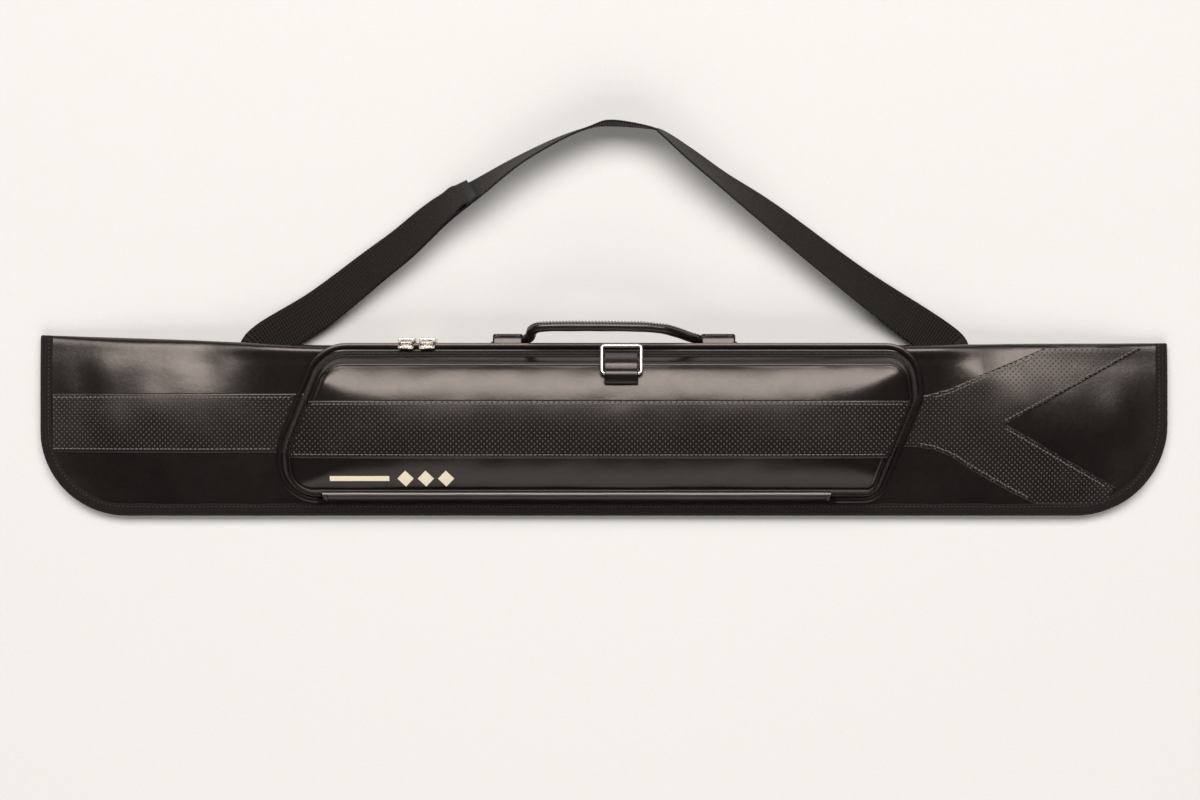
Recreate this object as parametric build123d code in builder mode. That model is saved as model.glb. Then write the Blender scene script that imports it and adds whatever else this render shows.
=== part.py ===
from build123d import *
import os
from math import sin, cos, radians, sqrt

# Soft billiard cue case lying on its flat back. Millimetres.
# X runs along the case, Y towards the folded spine, Z up away from the table.

os.makedirs("parts", exist_ok=True)

# driving sizes
half_length = 425.0
bottom_edge = -65.0
corner_left, corner_right = 65.0, 70.0
end_thickness = 7.5
cover_thick = 1.6
panel_seam = 4.0
padding_thick = 2.7
binding_width = 8.5
hinge_y, hinge_z = -50.0, 11.0
seat_angle = 8.35
draft_angle = 25.0
crown_radius, crown_height = 83.0, 32.0
webbing_width, webbing_thick = 30.0, 1.6
ring_x, ring_bar_y, ring_bar_z = 262.0, 36.0, 4.4
handle_axis_y, handle_axis_z = 66.8, 22.0
handle_rise = 70.0

seat_cos, seat_sin = cos(radians(seat_angle)), sin(radians(seat_angle))
seat = Plane(origin=(0, hinge_y, hinge_z), x_dir=(1, 0, 0), z_dir=(0, -seat_sin, seat_cos))


def mix(table, value):
    # straight-line reading of a table of (position, value) pairs
    for (a, fa), (b, fb) in zip(table, table[1:]):
        if value <= b:
            return fa + (fb - fa) * max(0.0, value - a) / (b - a)
    return table[-1][1]


def seat_point(x, y):
    # a point of the seat plane straight above plan position x, y
    return x, (y - hinge_y) / seat_cos


# body thickness at the crest, spine position and lift of the back beside the strap rings
def crest(x):
    return mix([(0, 23), (250, 23), (320, 24), (370, 18), (405, 11), (425, end_thickness), (440, 7.2)], abs(x))


def spine(x):
    return mix([(-440, 71.5), (-425, 71), (-300, 66.5), (-225, 62.8), (225, 62.8), (300, 64), (440, 65)], x)


def lift(x):
    return mix([(0, 0), (150, 0), (230, 11.5), (292, 11.5), (365, 0), (440, 0)], abs(x))


def top_height(x, y):
    # front surface: the flat seat of the lid in the middle, a soft lens towards the two ends
    flat = hinge_z + (y - hinge_y) * seat_sin / seat_cos
    s, extra = spine(x), crest(x) - end_thickness
    lens = mix([(-70, end_thickness - 0.4), (-50, end_thickness + 0.3 * extra), (-30, end_thickness + 0.6 * extra),
                (0, end_thickness + 0.93 * extra), (22, end_thickness + extra),
                (s - 20, end_thickness + 0.8 * extra), (s - 4, 0.8 * end_thickness + 0.62 * extra)], y)
    if y < -50:
        flat = mix([(-70, end_thickness - 0.4), (-50, hinge_z)], y)
    if y > s - 4:
        flat -= 0.4 * (y - s + 4)
    share = mix([(0, 1), (246, 1), (300, 0), (440, 0)], abs(x))
    return share * flat + (1 - share) * lens


def section(x, inset):
    # one closed outline across the case, drawn in by inset (or grown when inset is negative)
    s, up, low = spine(x), lift(x), -68.0
    shift = 2 * inset if inset > 0 else inset
    near, far = low + shift, s - inset

    def move(y):
        return near + (y - low) * (far - near) / (s - low)

    floor = -0.5 + inset
    backs = [(low, 1.4), (-40, 0), (0, 0.04 * up), (20, 0.5 * up), (s - 22, 0.85 * up), (s - 7, 0.85 * up + 1.6)]
    points = [(move(y), floor + z) for y, z in backs]
    tops = [s - 2.6, s - 12, s - 26, 20, 0, -25, -50, -60, low]
    heads = [(move(y), top_height(x, move(y)) - inset) for y in tops]
    points.append((far, 0.5 * (points[-1][1] + heads[0][1])))
    return points + heads


def case_loft(inset, reach=440):
    stations = [x for x in (0, 110, 185, 238, 262, 290, 325, 365, 403, 425, 440) if x <= reach]
    with BuildPart() as made:
        for x in [-x for x in reversed(stations[1:])] + stations:
            with BuildSketch(Plane(origin=(x, 0, 0), x_dir=(0, 1, 0), z_dir=(1, 0, 0))):
                with BuildLine():
                    Spline(*section(x, inset), periodic=True)
                make_face()
        loft()
    return made.part


def room_loft(inset):
    # room inside the padding, from flat-sided outlines across the case
    def outline(x):
        s, up, low = spine(x), lift(x), -49.0 + inset
        backs = [(low, 0), (0, 0.04 * up), (20, 0.5 * up), (s - 22, 0.85 * up), (s - 10, 0.85 * up - 1.2)]
        points = [(y, z - 0.5 + inset) for y, z in backs]
        return points + [(y, top_height(x, y) - inset) for y in (s - 10, s - 22, 20, 0, -25, low)]

    stations = (-365, -325, -290, -262, -238, -185, 0, 185, 238, 262, 290, 325, 365)
    with BuildPart() as made:
        for pair in zip(stations, stations[1:]):
            for x in pair:
                with BuildSketch(Plane(origin=(x, 0, 0), x_dir=(0, 1, 0), z_dir=(1, 0, 0))):
                    with BuildLine():
                        Polyline(*outline(x), close=True)
                    make_face()
            loft(ruled=True)
    return made.part


def plan_prism(inset, low, high):
    # straight prism over the plan outline; its upper side runs past the folded spine
    a, b = half_length - inset, bottom_edge + inset
    with BuildPart() as made:
        with BuildSketch(Plane.XY.offset(low)):
            with BuildLine():
                FilletPolyline((-a, 95), (-a, b), (a, b), (a, 95),
                               radius=[corner_left - inset, corner_right - inset])
                Line((a, 95), (-a, 95))
            make_face()
        extrude(amount=high - low)
    return made.part


def block(x0, x1, y0, y1, z0, z1):
    with BuildPart() as made:
        with Locations(((x0 + x1) / 2, (y0 + y1) / 2, (z0 + z1) / 2)):
            Box(x1 - x0, y1 - y0, z1 - z0)
    return made.part


def slab(x0, x1, n0, n1, v0=-30, v1=150):
    # box in the frame of the lid's seat: v up the seat, n away from it
    with BuildPart() as made:
        with BuildSketch(seat.offset(n0)):
            with Locations(((x0 + x1) / 2, (v0 + v1) / 2)):
                Rectangle(x1 - x0, v1 - v0)
        extrude(amount=n1 - n0)
    return made.part


lid_corners = [(-211, 60), (-242, -14), (-240, -51), (205, -51), (235, 25), (230, 60)]
lid_radii = [30, 60, 26, 15, 20, 24]


def lid_prism(grow, n0, n1, taper=0.0):
    with BuildPart() as made:
        with BuildSketch(seat.offset(n0)):
            with BuildLine():
                FilletPolyline(*[seat_point(x, y) for x, y in lid_corners], radius=lid_radii, close=True)
            make_face()
            if grow:
                offset(amount=grow)
        extrude(amount=n1 - n0, taper=taper)
    return made.part


def common(first, *others):
    with BuildPart() as made:
        add(first)
        for other in others:
            add(other, mode=Mode.INTERSECT)
    return made.part


def save(made, name):
    made.part.label = name
    export_step(made.part, "parts/" + name + ".step")
    print(name, len(made.part.solids()), round(made.part.volume), made.part.is_valid)


# the folded body
outer = common(case_loft(0), plan_prism(0, 0, 60))
room = common(case_loft(cover_thick), plan_prism(binding_width + 1, cover_thick, 60))
opening = lid_prism(-9, -9, 30)

with BuildPart() as cover:
    add(outer)
    add(room, mode=Mode.SUBTRACT)
    add(lid_prism(5, 0, 30), mode=Mode.SUBTRACT)
    add(opening, mode=Mode.SUBTRACT)

for name, low, high in (("back_panel", -2, panel_seam), ("front_panel", panel_seam, 60)):
    with BuildPart() as panel:
        add(cover.part)
        add(block(-440, 440, -80, 100, low, high), mode=Mode.INTERSECT)
    save(panel, name)

cavity_inset = cover_thick + padding_thick
cavity = room_loft(cavity_inset)
with BuildPart() as foam_padding:
    add(room)
    add(cavity, mode=Mode.SUBTRACT)
    add(opening, mode=Mode.SUBTRACT)
save(foam_padding, "foam_padding")

with BuildPart() as edge_binding:
    add(common(case_loft(-1.2), plan_prism(-1.2, 0, 60)))
    add(plan_prism(binding_width, -5, 70), mode=Mode.SUBTRACT)
    add(outer, mode=Mode.SUBTRACT)
    add(block(-430, 430, 58, 100, -5, 70), mode=Mode.SUBTRACT)
save(edge_binding, "edge_binding")


def trim_sheet(grow):
    with BuildPart() as made:
        add(case_loft(-grow))
        add(case_loft(0), mode=Mode.SUBTRACT)
        add(lid_prism(5.3, -20, 40), mode=Mode.SUBTRACT)
        add(plan_prism(binding_width + 0.3, panel_seam, 60), mode=Mode.INTERSECT)
        add(block(-350, 350, 0, 120, 0, 10.3), mode=Mode.SUBTRACT)
    return made.part


trim = trim_sheet(0.9)
with BuildPart() as trim_band_left:
    add(trim)
    add(block(-half_length + binding_width + 0.2, -200, -17.5, 27, 4, 50), mode=Mode.INTERSECT)
save(trim_band_left, "trim_band_left")

tail_outline = [(210, 24), (232, 24), (255, 27), (277, 39), (305, 51), (331, 59), (404, 57), (300, 4),
                (387, -44), (378, -54), (325, -54), (305, -47), (277, -31), (260, -19), (248, -15), (210, -13)]
with BuildPart() as tail_prism:
    with BuildSketch(Plane.XY.offset(4)):
        with BuildLine():
            Polyline(*tail_outline, close=True)
        make_face()
    extrude(amount=50)
with BuildPart() as trim_tail_right:
    add(trim)
    add(tail_prism.part, mode=Mode.INTERSECT)
save(trim_tail_right, "trim_tail_right")

# cue sleeves inside the two ends, mouths towards the middle
channel_edges = [-30, -4, 22, 47]
for side, name in ((-1, "cue_sleeve_left"), (1, "cue_sleeve_right")):
    x_mouth, x_end = side * 150, side * 350
    low_x, high_x = min(x_mouth, x_end), max(x_mouth, x_end)
    body_box = block(low_x, high_x, channel_edges[0] - 1, channel_edges[-1] + 1, 4.6, 60)
    with BuildPart() as sleeve:
        add(common(room_loft(cavity_inset + 0.2), body_box))
        hollow = common(room_loft(cavity_inset + 1.2), block(-340, 340, -60, 70, 5.8, 60))
        for y0, y1 in zip(channel_edges, channel_edges[1:]):
            add(common(hollow, block(low_x - 1, high_x + 1, y0, y1 - 1, 0, 60)), mode=Mode.SUBTRACT)
        add(opening, mode=Mode.SUBTRACT)
    save(sleeve, name)

# zip: body tape and coil on the seat, lid coil and tape above
wall_outer = lid_prism(0, 0, 18, draft_angle)
wall_inner = lid_prism(-1.3, -0.01, 18.01, draft_angle)
hinge_gap = slab(-212, 171, -1, 10, -8, 12)


def wall_ring(n0, n1):
    with BuildPart() as made:
        add(common(wall_outer, slab(-300, 300, n0, n1)))
        add(wall_inner, mode=Mode.SUBTRACT)
    return made.part


for n0, n1, name in ((0.05, 4.9, "zip_tape_body"), (4.95, 6.0, "zip_coil_body"), (6.05, 7.1, "zip_coil_lid"),
                     (7.15, 10.0, "zip_tape_lid")):
    with BuildPart() as ring:
        add(wall_ring(n0, n1))
        add(hinge_gap, mode=Mode.SUBTRACT)
    save(ring, name)

with BuildPart() as hinge_strip:
    add(slab(-210, 169, 0.1, 0.7, -5.5, -2.2))
save(hinge_strip, "hinge_strip")

with BuildPart() as hinge_end_tabs:
    for x in (-213.0, 172.0):
        add(slab(x - 2.4, x + 2.4, 0.1, 2.0, -5.6, -1.8))
save(hinge_end_tabs, "hinge_end_tabs")

# lid
with BuildPart() as lid_gusset:
    add(wall_ring(10.05, 17.9))
    add(common(wall_ring(1.2, 10.2), slab(-210, 169, 0, 10.2, -8, 12)))
save(lid_gusset, "lid_gusset")

crown_v = 54.8


def crown_block(grow):
    # round crown along the lid, falling away towards its two ends
    with BuildPart() as made:
        with BuildSketch(Plane(origin=(-300, hinge_y, hinge_z), x_dir=(0, seat_cos, seat_sin), z_dir=(1, 0, 0))):
            with Locations((crown_v, crown_height - crown_radius)):
                Circle(crown_radius + grow)
        extrude(amount=600)
        with BuildSketch(Plane(origin=(0, hinge_y, hinge_z), x_dir=(1, 0, 0), z_dir=(0, -seat_cos, -seat_sin))):
            with BuildLine():
                ends = [(-260, 8), (-228, 19.5), (-195, 28), (-150, 32.5), (0, 34), (145, 32.5), (188, 28),
                        (222, 19.5), (255, 8)]
                Spline(*[(x, n + grow) for x, n in ends])
                Polyline((255, 8 + grow), (255, -40), (-260, -40), (-260, 8 + grow))
            make_face()
        extrude(amount=200, both=True, mode=Mode.INTERSECT)
    return made.part


def lid_cap(grow, low):
    return common(lid_prism(grow, 0, 36, draft_angle), crown_block(grow), slab(-300, 300, low, 42))


face_solid = lid_cap(0, 17.95)
with BuildPart() as lid_face:
    add(face_solid)
    add(lid_cap(-1.5, 17), mode=Mode.SUBTRACT)
save(lid_face, "lid_face")

with BuildPart() as lid_foam:
    add(lid_cap(-1.6, 16.0))
    add(lid_cap(-4.6, 15.9), mode=Mode.SUBTRACT)
save(lid_foam, "lid_foam")

with BuildPart() as lid_lining:
    add(common(lid_prism(-1.5, 0, 34, draft_angle), slab(-300, 300, 10.1, 11.3)))
    add(slab(-110, 110, 9, 12, 88, 100), mode=Mode.SUBTRACT)
save(lid_lining, "lid_lining")

with BuildPart() as lid_trim_band:
    add(lid_cap(0.9, 17.95))
    add(lid_cap(0.02, 17), mode=Mode.SUBTRACT)
    add(block(-260, 260, -21, 22, 0, 90), mode=Mode.INTERSECT)
save(lid_trim_band, "lid_trim_band")

with BuildPart() as emblem_prism:
    with BuildSketch(Plane.XY.offset(20)):
        with Locations((-181, -36)):
            Rectangle(44, 3.4)
        with Locations(*[(x, -36) for x in (-147, -132, -117)]):
            Rectangle(8, 8, rotation=45)
    extrude(amount=60)
with BuildPart() as emblem:
    add(lid_cap(0.5, 17.95))
    add(lid_cap(0.02, 17), mode=Mode.SUBTRACT)
    add(emblem_prism.part, mode=Mode.INTERSECT)
save(emblem, "emblem")

with BuildPart() as hinge_piping:
    with BuildSketch(Plane.YZ.offset(-210)):
        with Locations((-48.9, 21.6)):
            Circle(1.3)
    extrude(amount=379)
    add(lid_prism(0.02, 0, 34, draft_angle), mode=Mode.SUBTRACT)
save(hinge_piping, "hinge_piping")

# front ring in its leather chape
front_x, front_y, front_z = 12.8, 41.6, 49.5
front_wire = 1.35
front_plane = Plane(origin=(front_x, front_y, front_z), x_dir=(1, 0, 0), z_dir=(0, 0.238, 0.971))


def wire_ring(plane, width, length, wire, radius):
    # closed rectangular wire ring whose near bar lies on the plane's X axis
    with BuildPart() as made:
        with BuildLine(plane) as path:
            w = width / 2
            FilletPolyline((w, 0), (w, length), (-w, length), (-w, 0), radius=radius, close=True)
        start = plane * Plane(origin=(w, length / 2, 0), x_dir=(1, 0, 0), z_dir=(0, 1, 0))
        with BuildSketch(start):
            Circle(wire)
        sweep(path=path.wires()[0])
    return made.part


with BuildPart() as front_ring:
    add(wire_ring(front_plane, 29.0, 21.0, front_wire, 2.3))
save(front_ring, "front_ring")

with BuildPart() as ring_chape:
    add(lid_cap(1.6, 18.0))
    add(lid_cap(0.05, 17), mode=Mode.SUBTRACT)
    add(block(0.7, 24.6, 41, 60, 20, 60), mode=Mode.INTERSECT)
    with BuildSketch(Plane.YZ.offset(0.7)):
        with Locations((front_y, front_z)):
            Circle(3.1)
            Circle(front_wire + 0.15, mode=Mode.SUBTRACT)
    extrude(amount=23.9)
    add(block(-1, 26, front_y - 6, front_y + 6, 20, front_z - 3.1), mode=Mode.SUBTRACT)
    add(common(lid_cap(1.6, 18), block(0.7, 24.6, front_y - 0.5, 60, 20, 60)))
    add(lid_cap(0.05, 17), mode=Mode.SUBTRACT)
save(ring_chape, "ring_chape")

# zip sliders and their pulls
slide_y, slide_z = 62.3, 31.2
for x, tag in ((-147.2, "left"), (-131.6, "right")):
    face = Plane(origin=(x, slide_y, slide_z), x_dir=(1, 0, 0),
                 z_dir=(0, cos(radians(draft_angle)), sin(radians(draft_angle))))
    with BuildPart() as slider:
        with BuildSketch(face.offset(-1.6)):
            with BuildLine():
                Polyline((-6, -3.4), (4.5, -4.4), (6, -2), (6, 2), (4.5, 4.4), (-6, 3.4), close=True)
            make_face()
        extrude(amount=1.7)
        with BuildSketch(face.offset(0.1)):
            Rectangle(7.4, 3.4)
        extrude(amount=2.9)
        with Locations(Location(face.offset(1.75).origin, (0, 90, 0))):
            Cylinder(0.95, 12, mode=Mode.SUBTRACT)
    save(slider, "slider_" + tag)
    eye = face.offset(1.75).origin
    with BuildPart() as pull:
        with Locations(Location((x, eye.Y, eye.Z), (0, 90, 0))):
            Cylinder(0.8, 10.4)
        for side in (-1, 1):
            with Locations((x + side * 4.8, eye.Y + 2.3, eye.Z - 2.4)):
                Box(1.5, 4.0, 6.4)
        with Locations((x, eye.Y + 2.9, eye.Z - 15.4)):
            Box(12.4, 2.8, 21.6)
        with Locations((x, eye.Y + 2.9, eye.Z - 10.5)):
            Box(4.2, 4, 5.0, mode=Mode.SUBTRACT)
        for row in range(7):
            with Locations((x, eye.Y + 4.3, eye.Z - 15.6 - row * 1.5)):
                Box(12.6, 0.5, 0.6, mode=Mode.SUBTRACT)
    save(pull, "pull_" + tag)

# handle on the spine
handle_plane = Plane(origin=(0, handle_axis_y, handle_axis_z), x_dir=(1, 0, 0),
                     z_dir=(0, -sin(radians(handle_rise)), cos(radians(handle_rise))))
handle_path = [(-80, 0), (-53.5, 0), (-50.5, 26), (42, 26), (65.5, 0), (97, 0)]
handle_radii = [5, 8, 24, 12]


def handle_tube(radius, hole, low_x, high_x):
    with BuildPart() as made:
        with BuildLine(handle_plane) as path:
            FilletPolyline(*handle_path, radius=handle_radii)
        with BuildSketch(Plane(origin=(-80, handle_axis_y, handle_axis_z), z_dir=(1, 0, 0))):
            Circle(radius)
            if hole:
                Circle(hole, mode=Mode.SUBTRACT)
        sweep(path=path.wires()[0])
        add(block(low_x, high_x, 40, 110, 0, 90), mode=Mode.INTERSECT)
    return made.part


with BuildPart() as handle_core:
    add(handle_tube(2.5, 0, -79, 96))
save(handle_core, "handle_core")
with BuildPart() as handle_grip:
    add(handle_tube(3.85, 2.55, -57.5, 70))
save(handle_grip, "handle_grip")

for x0, x1, tag in ((-80.0, -59.0, "left"), (71.5, 97.0, "right")):
    with BuildPart() as handle_tab:
        with BuildSketch(Plane.YZ.offset(x0)):
            with Locations((handle_axis_y, handle_axis_z)):
                Circle(3.9)
            with BuildLine():
                Polyline((61.0, 6.0), (65.2, 6.0), (69.6, 20.0), (61.5, 25.6), close=True)
            make_face()
            with Locations((handle_axis_y, handle_axis_z)):
                Circle(2.6, mode=Mode.SUBTRACT)
        extrude(amount=x1 - x0)
        add(case_loft(-0.05), mode=Mode.SUBTRACT)
        add(lid_prism(5.05, -0.05, 30), mode=Mode.SUBTRACT)
    save(handle_tab, "handle_tab_" + tag)

# shoulder strap
# plan centreline of the loose arch and its twist from lying flat, left to right
arch = [(-262, 47, 0), (-261.8, 57, 0), (-252.6, 67.5, 4), (-214, 91, 12), (-172, 123, 26), (-151, 139, 32),
        (-123, 163, 43), (-95, 181, 58), (-65, 201, 72), (-34, 217.5, 79), (-10.5, 226.5, 84), (6, 229.5, 90),
        (35, 226, 84), (45, 221.5, 77), (65, 206, 68), (89.5, 187, 62), (125, 161, 48), (193, 108.5, 32),
        (252.6, 67.5, 6), (261.8, 57, 0), (262, 47, 0)]
fine = 4


def arch_curve(place):
    # smooth reading of the arch table at a fractional index
    i = min(int(place), len(arch) - 2)
    t = place - i
    around = [arch[max(0, min(len(arch) - 1, i + k))] for k in (-1, 0, 1, 2)]
    weights = (-t ** 3 + 2 * t ** 2 - t, 3 * t ** 3 - 5 * t ** 2 + 2, -3 * t ** 3 + 4 * t ** 2 + t, t ** 3 - t ** 2)
    return [0.5 * sum(w * p[k] for w, p in zip(weights, around)) for k in range(3)]


def arch_frame(place):
    # centre, unit width direction (to the lifted inner edge) and face normal of the webbing
    x, y, twist = arch_curve(place)
    ahead, behind = arch_curve(min(place + 0.05, len(arch) - 1)), arch_curve(max(place - 0.05, 0))
    tx, ty = ahead[0] - behind[0], ahead[1] - behind[1]
    size = sqrt(tx * tx + ty * ty)
    ox, oy = -ty / size, tx / size
    turn = radians(twist)
    ends = max(0.0, 1 - min(place, len(arch) - 1 - place) / 3.0)
    z = 0.5 * webbing_width * sin(turn) + 0.5 * webbing_thick * cos(turn) + 0.15 + 3.1 * ends
    width = Vector(-ox * cos(turn), -oy * cos(turn), sin(turn))
    normal = Vector(ox * sin(turn), oy * sin(turn), cos(turn))
    return Vector(x, y, z), width, normal


def webbing(first, last, low, high, width=webbing_width, steps=fine):
    # strip of webbing between two places on the arch, from height low to high above its face
    with BuildPart() as made:
        count = round((last - first) * steps)
        for k in range(count + 1):
            centre, across, normal = arch_frame(first + (last - first) * k / count)
            plane = Plane(origin=centre, x_dir=across, z_dir=across.cross(normal))
            with BuildSketch(plane):
                with Locations((0, (low + high) / 2)):
                    Rectangle(width, high - low)
        loft(ruled=True)
    return made.part


half = webbing_thick / 2
ring_length, loop_radius = 11.5, 3.0
web_start, web_end = 0.56, len(arch) - 1.56
with BuildPart() as strap_webbing:
    add(webbing(web_start, web_end, -half, half))
save(strap_webbing, "strap_webbing")
with BuildPart() as strap_return:
    add(webbing(web_start, 6.6, half + 0.05, half + 0.05 + webbing_thick))
save(strap_return, "strap_return")
with BuildPart() as strap_adjuster:
    add(webbing(6.65, 6.9, half + 0.1, half + 2.3, webbing_width + 1, 16))
save(strap_adjuster, "strap_adjuster")

for side, tag in ((-1, "left"), (1, "right")):
    x = side * ring_x
    flat = Plane(origin=(x, ring_bar_y, ring_bar_z), x_dir=(1, 0, 0), z_dir=(0, 0, 1))
    with BuildPart() as strap_ring:
        add(wire_ring(flat, 35.0, ring_length, 1.3, 3.0))
    save(strap_ring, "strap_ring_" + tag)
    with BuildPart() as strap_end_loop:
        with BuildSketch(Plane.YZ.offset(x - webbing_width / 2)):
            with Locations((ring_bar_y + ring_length, ring_bar_z)):
                Circle(loop_radius)
                Circle(1.35, mode=Mode.SUBTRACT)
        extrude(amount=webbing_width)
    save(strap_end_loop, "strap_loop_" + tag)
    with BuildPart() as strap_tab:
        add(case_loft(-1.5))
        add(case_loft(-0.05), mode=Mode.SUBTRACT)
        add(block(x - 11, x + 11, 16, 44, 0.2, 12), mode=Mode.INTERSECT)
        with BuildSketch(Plane.YZ.offset(x - 11)):
            with Locations((ring_bar_y, ring_bar_z)):
                Circle(3.0)
        extrude(amount=22)
        add(case_loft(-0.05), mode=Mode.SUBTRACT)
        with BuildSketch(Plane.YZ.offset(x - 11)):
            with Locations((ring_bar_y, ring_bar_z)):
                Circle(1.45)
        extrude(amount=22, mode=Mode.SUBTRACT)
    save(strap_tab, "strap_tab_" + tag)
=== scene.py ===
import bpy
import bmesh
import numpy as np
from math import sin, cos, tan, pi, radians, sqrt
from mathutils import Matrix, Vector


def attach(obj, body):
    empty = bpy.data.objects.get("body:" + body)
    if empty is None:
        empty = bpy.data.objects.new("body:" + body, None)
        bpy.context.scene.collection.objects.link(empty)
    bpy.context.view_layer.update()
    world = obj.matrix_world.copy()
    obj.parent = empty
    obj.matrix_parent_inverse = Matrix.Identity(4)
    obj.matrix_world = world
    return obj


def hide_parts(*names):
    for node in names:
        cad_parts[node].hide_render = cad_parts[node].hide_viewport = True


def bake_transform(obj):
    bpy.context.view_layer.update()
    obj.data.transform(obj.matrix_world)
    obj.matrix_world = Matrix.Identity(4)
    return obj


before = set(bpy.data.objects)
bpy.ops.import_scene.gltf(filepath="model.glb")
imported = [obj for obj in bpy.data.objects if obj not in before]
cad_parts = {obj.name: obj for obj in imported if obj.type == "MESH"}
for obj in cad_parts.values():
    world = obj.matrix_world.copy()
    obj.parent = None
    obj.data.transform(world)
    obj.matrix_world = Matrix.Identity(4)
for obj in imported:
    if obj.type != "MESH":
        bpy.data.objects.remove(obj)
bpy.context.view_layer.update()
mm = 0.001  # shapes are worked out in millimetres and made in metres

# small tools


def softTable(pairs, blur):
    # a table of (place, value) read as one smooth curve
    xs, ys = np.array(pairs, dtype=float).T
    fine = np.linspace(xs[0] - 3 * blur, xs[-1] + 3 * blur, 4000)
    raw = np.interp(fine, xs, ys)
    raw += np.where(fine < xs[0], (fine - xs[0]) * (ys[1] - ys[0]) / (xs[1] - xs[0]), 0)
    raw += np.where(fine > xs[-1], (fine - xs[-1]) * (ys[-1] - ys[-2]) / (xs[-1] - xs[-2]), 0)
    step = fine[1] - fine[0]
    reach = int(3 * blur / step)
    bell = np.exp(-0.5 * (np.arange(-reach, reach + 1) * step / blur) ** 2)
    smooth = np.convolve(np.pad(raw, reach, mode="edge"), bell / bell.sum(), mode="valid")
    return lambda v: np.interp(v, fine, smooth)


def slowNoise(seed, waves=14, scale=60.0):
    # smooth wander over a flat sheet, about -1 to 1, from a few random sine waves
    pick = np.random.default_rng(seed)
    turn = pick.uniform(0, 2 * pi, waves)
    size = pick.uniform(0.6, 1.6, waves) * 2 * pi / scale
    phase = pick.uniform(0, 2 * pi, waves)

    def read(x, y):
        x, y = np.asarray(x, dtype=float), np.asarray(y, dtype=float)
        total = sum(np.sin(s * (x * cos(t) + y * sin(t)) + p) for s, t, p in zip(size, turn, phase))
        return total / sqrt(waves)
    return read


def meshPiece(name, verts, faces, material, uvs=None, smooth=True):
    # verts in millimetres; uvs one pair per vertex
    data = bpy.data.meshes.new(name)
    data.from_pydata([tuple(v) for v in np.asarray(verts, dtype=float) * mm], [], faces)
    if uvs is not None:
        layer = data.uv_layers.new(name="UVMap")
        spots = np.asarray(uvs, dtype=float)
        order = np.zeros(len(data.loops), dtype=int)
        data.loops.foreach_get("vertex_index", order)
        layer.data.foreach_set("uv", spots[order].ravel())
    data.materials.append(material)
    if smooth:
        data.polygons.foreach_set("use_smooth", [True] * len(data.polygons))
    data.update()
    made = bpy.data.objects.new(name, data)
    bpy.context.scene.collection.objects.link(made)
    return made


def settle(piece, bodyName, finish, *nodes):
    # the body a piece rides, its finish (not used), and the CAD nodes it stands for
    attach(piece, bodyName)
    if nodes:
        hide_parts(*nodes)


def gridFaces(rows, cols, closeRows=False, closeCols=False, keep=None, start=0):
    faces = []
    for i in range(rows if closeRows else rows - 1):
        for j in range(cols if closeCols else cols - 1):
            if keep is None or keep[i, j]:
                a, b = (i + 1) % rows, (j + 1) % cols
                corners = ((i, j), (a, j), (a, b), (i, b))
                faces.append(tuple(start + row * cols + col for row, col in corners))
    return faces


def gridPiece(name, points, material, uvs=None, closeRows=False, closeCols=False, keep=None, thick=0.0,
              flip=False, caps=False):
    # a sheet over a rows x cols net of points, given real thickness when thick is set
    rows, cols = points.shape[:2]
    faces = gridFaces(rows, cols, closeRows, closeCols, keep)
    if caps:
        faces.append(tuple(range(cols)))
        faces.append(tuple(reversed(range((rows - 1) * cols, rows * cols))))
    if flip:
        faces = [f[::-1] for f in faces]
    made = meshPiece(name, points.reshape(-1, 3), faces, material, None if uvs is None else uvs.reshape(-1, 2))
    if thick:
        solid = made.modifiers.new("thickness", "SOLIDIFY")
        solid.thickness = thick * mm
        solid.offset = -1
    return made


def runLength(path):
    # distance along a line of points
    return np.concatenate([[0], np.cumsum(np.linalg.norm(np.diff(path, axis=0), axis=1))])


def frames(path):
    # unit tangents along a line of points
    tangent = np.gradient(path, axis=0)
    return tangent / np.maximum(np.linalg.norm(tangent, axis=1, keepdims=True), 1e-9)


def resample(path, step, closed=False):
    path = np.asarray(path, dtype=float)
    if closed:
        path = np.vstack([path, path[:1]])
    along = runLength(path)
    count = max(2, int(round(along[-1] / step)) + 1)
    spots = np.linspace(0, along[-1], count)
    if closed:
        spots = spots[:-1]
    return np.stack([np.interp(spots, along, path[:, k]) for k in range(path.shape[1])], axis=1)


def tubePiece(name, path, radius, material, up, sides=10, squashUp=1.0, closed=False, caps=True):
    # round tube along a path; radius may vary along it, up gives the second axis of its section
    path = np.asarray(path, dtype=float)
    count = len(path)
    if closed:
        tangent = np.roll(path, -1, axis=0) - np.roll(path, 1, axis=0)
        tangent /= np.linalg.norm(tangent, axis=1, keepdims=True)
    else:
        tangent = frames(path)
    up = np.broadcast_to(np.asarray(up, dtype=float), path.shape)
    side = np.cross(tangent, up)
    side /= np.maximum(np.linalg.norm(side, axis=1, keepdims=True), 1e-9)
    rise = np.cross(side, tangent)
    radius = np.broadcast_to(np.asarray(radius, dtype=float), (count,))
    angle = np.linspace(0, 2 * pi, sides, endpoint=False)
    ring = (side[:, None, :] * np.cos(angle)[None, :, None]
            + rise[:, None, :] * (np.sin(angle) * squashUp)[None, :, None]) * radius[:, None, None]
    points = path[:, None, :] + ring
    faces = gridFaces(count, sides, closeRows=closed, closeCols=True)
    faces = [f[::-1] for f in faces]
    if not closed and caps:
        faces.append(tuple(range(sides)))
        faces.append(tuple(reversed(range((count - 1) * sides, count * sides))))
    gap = runLength(path)
    uvs = np.stack(np.broadcast_arrays(gap[:, None] * mm, angle[None, :] / (2 * pi)), axis=2)
    return meshPiece(name, points.reshape(-1, 3), faces, material, uvs.reshape(-1, 2))


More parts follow.
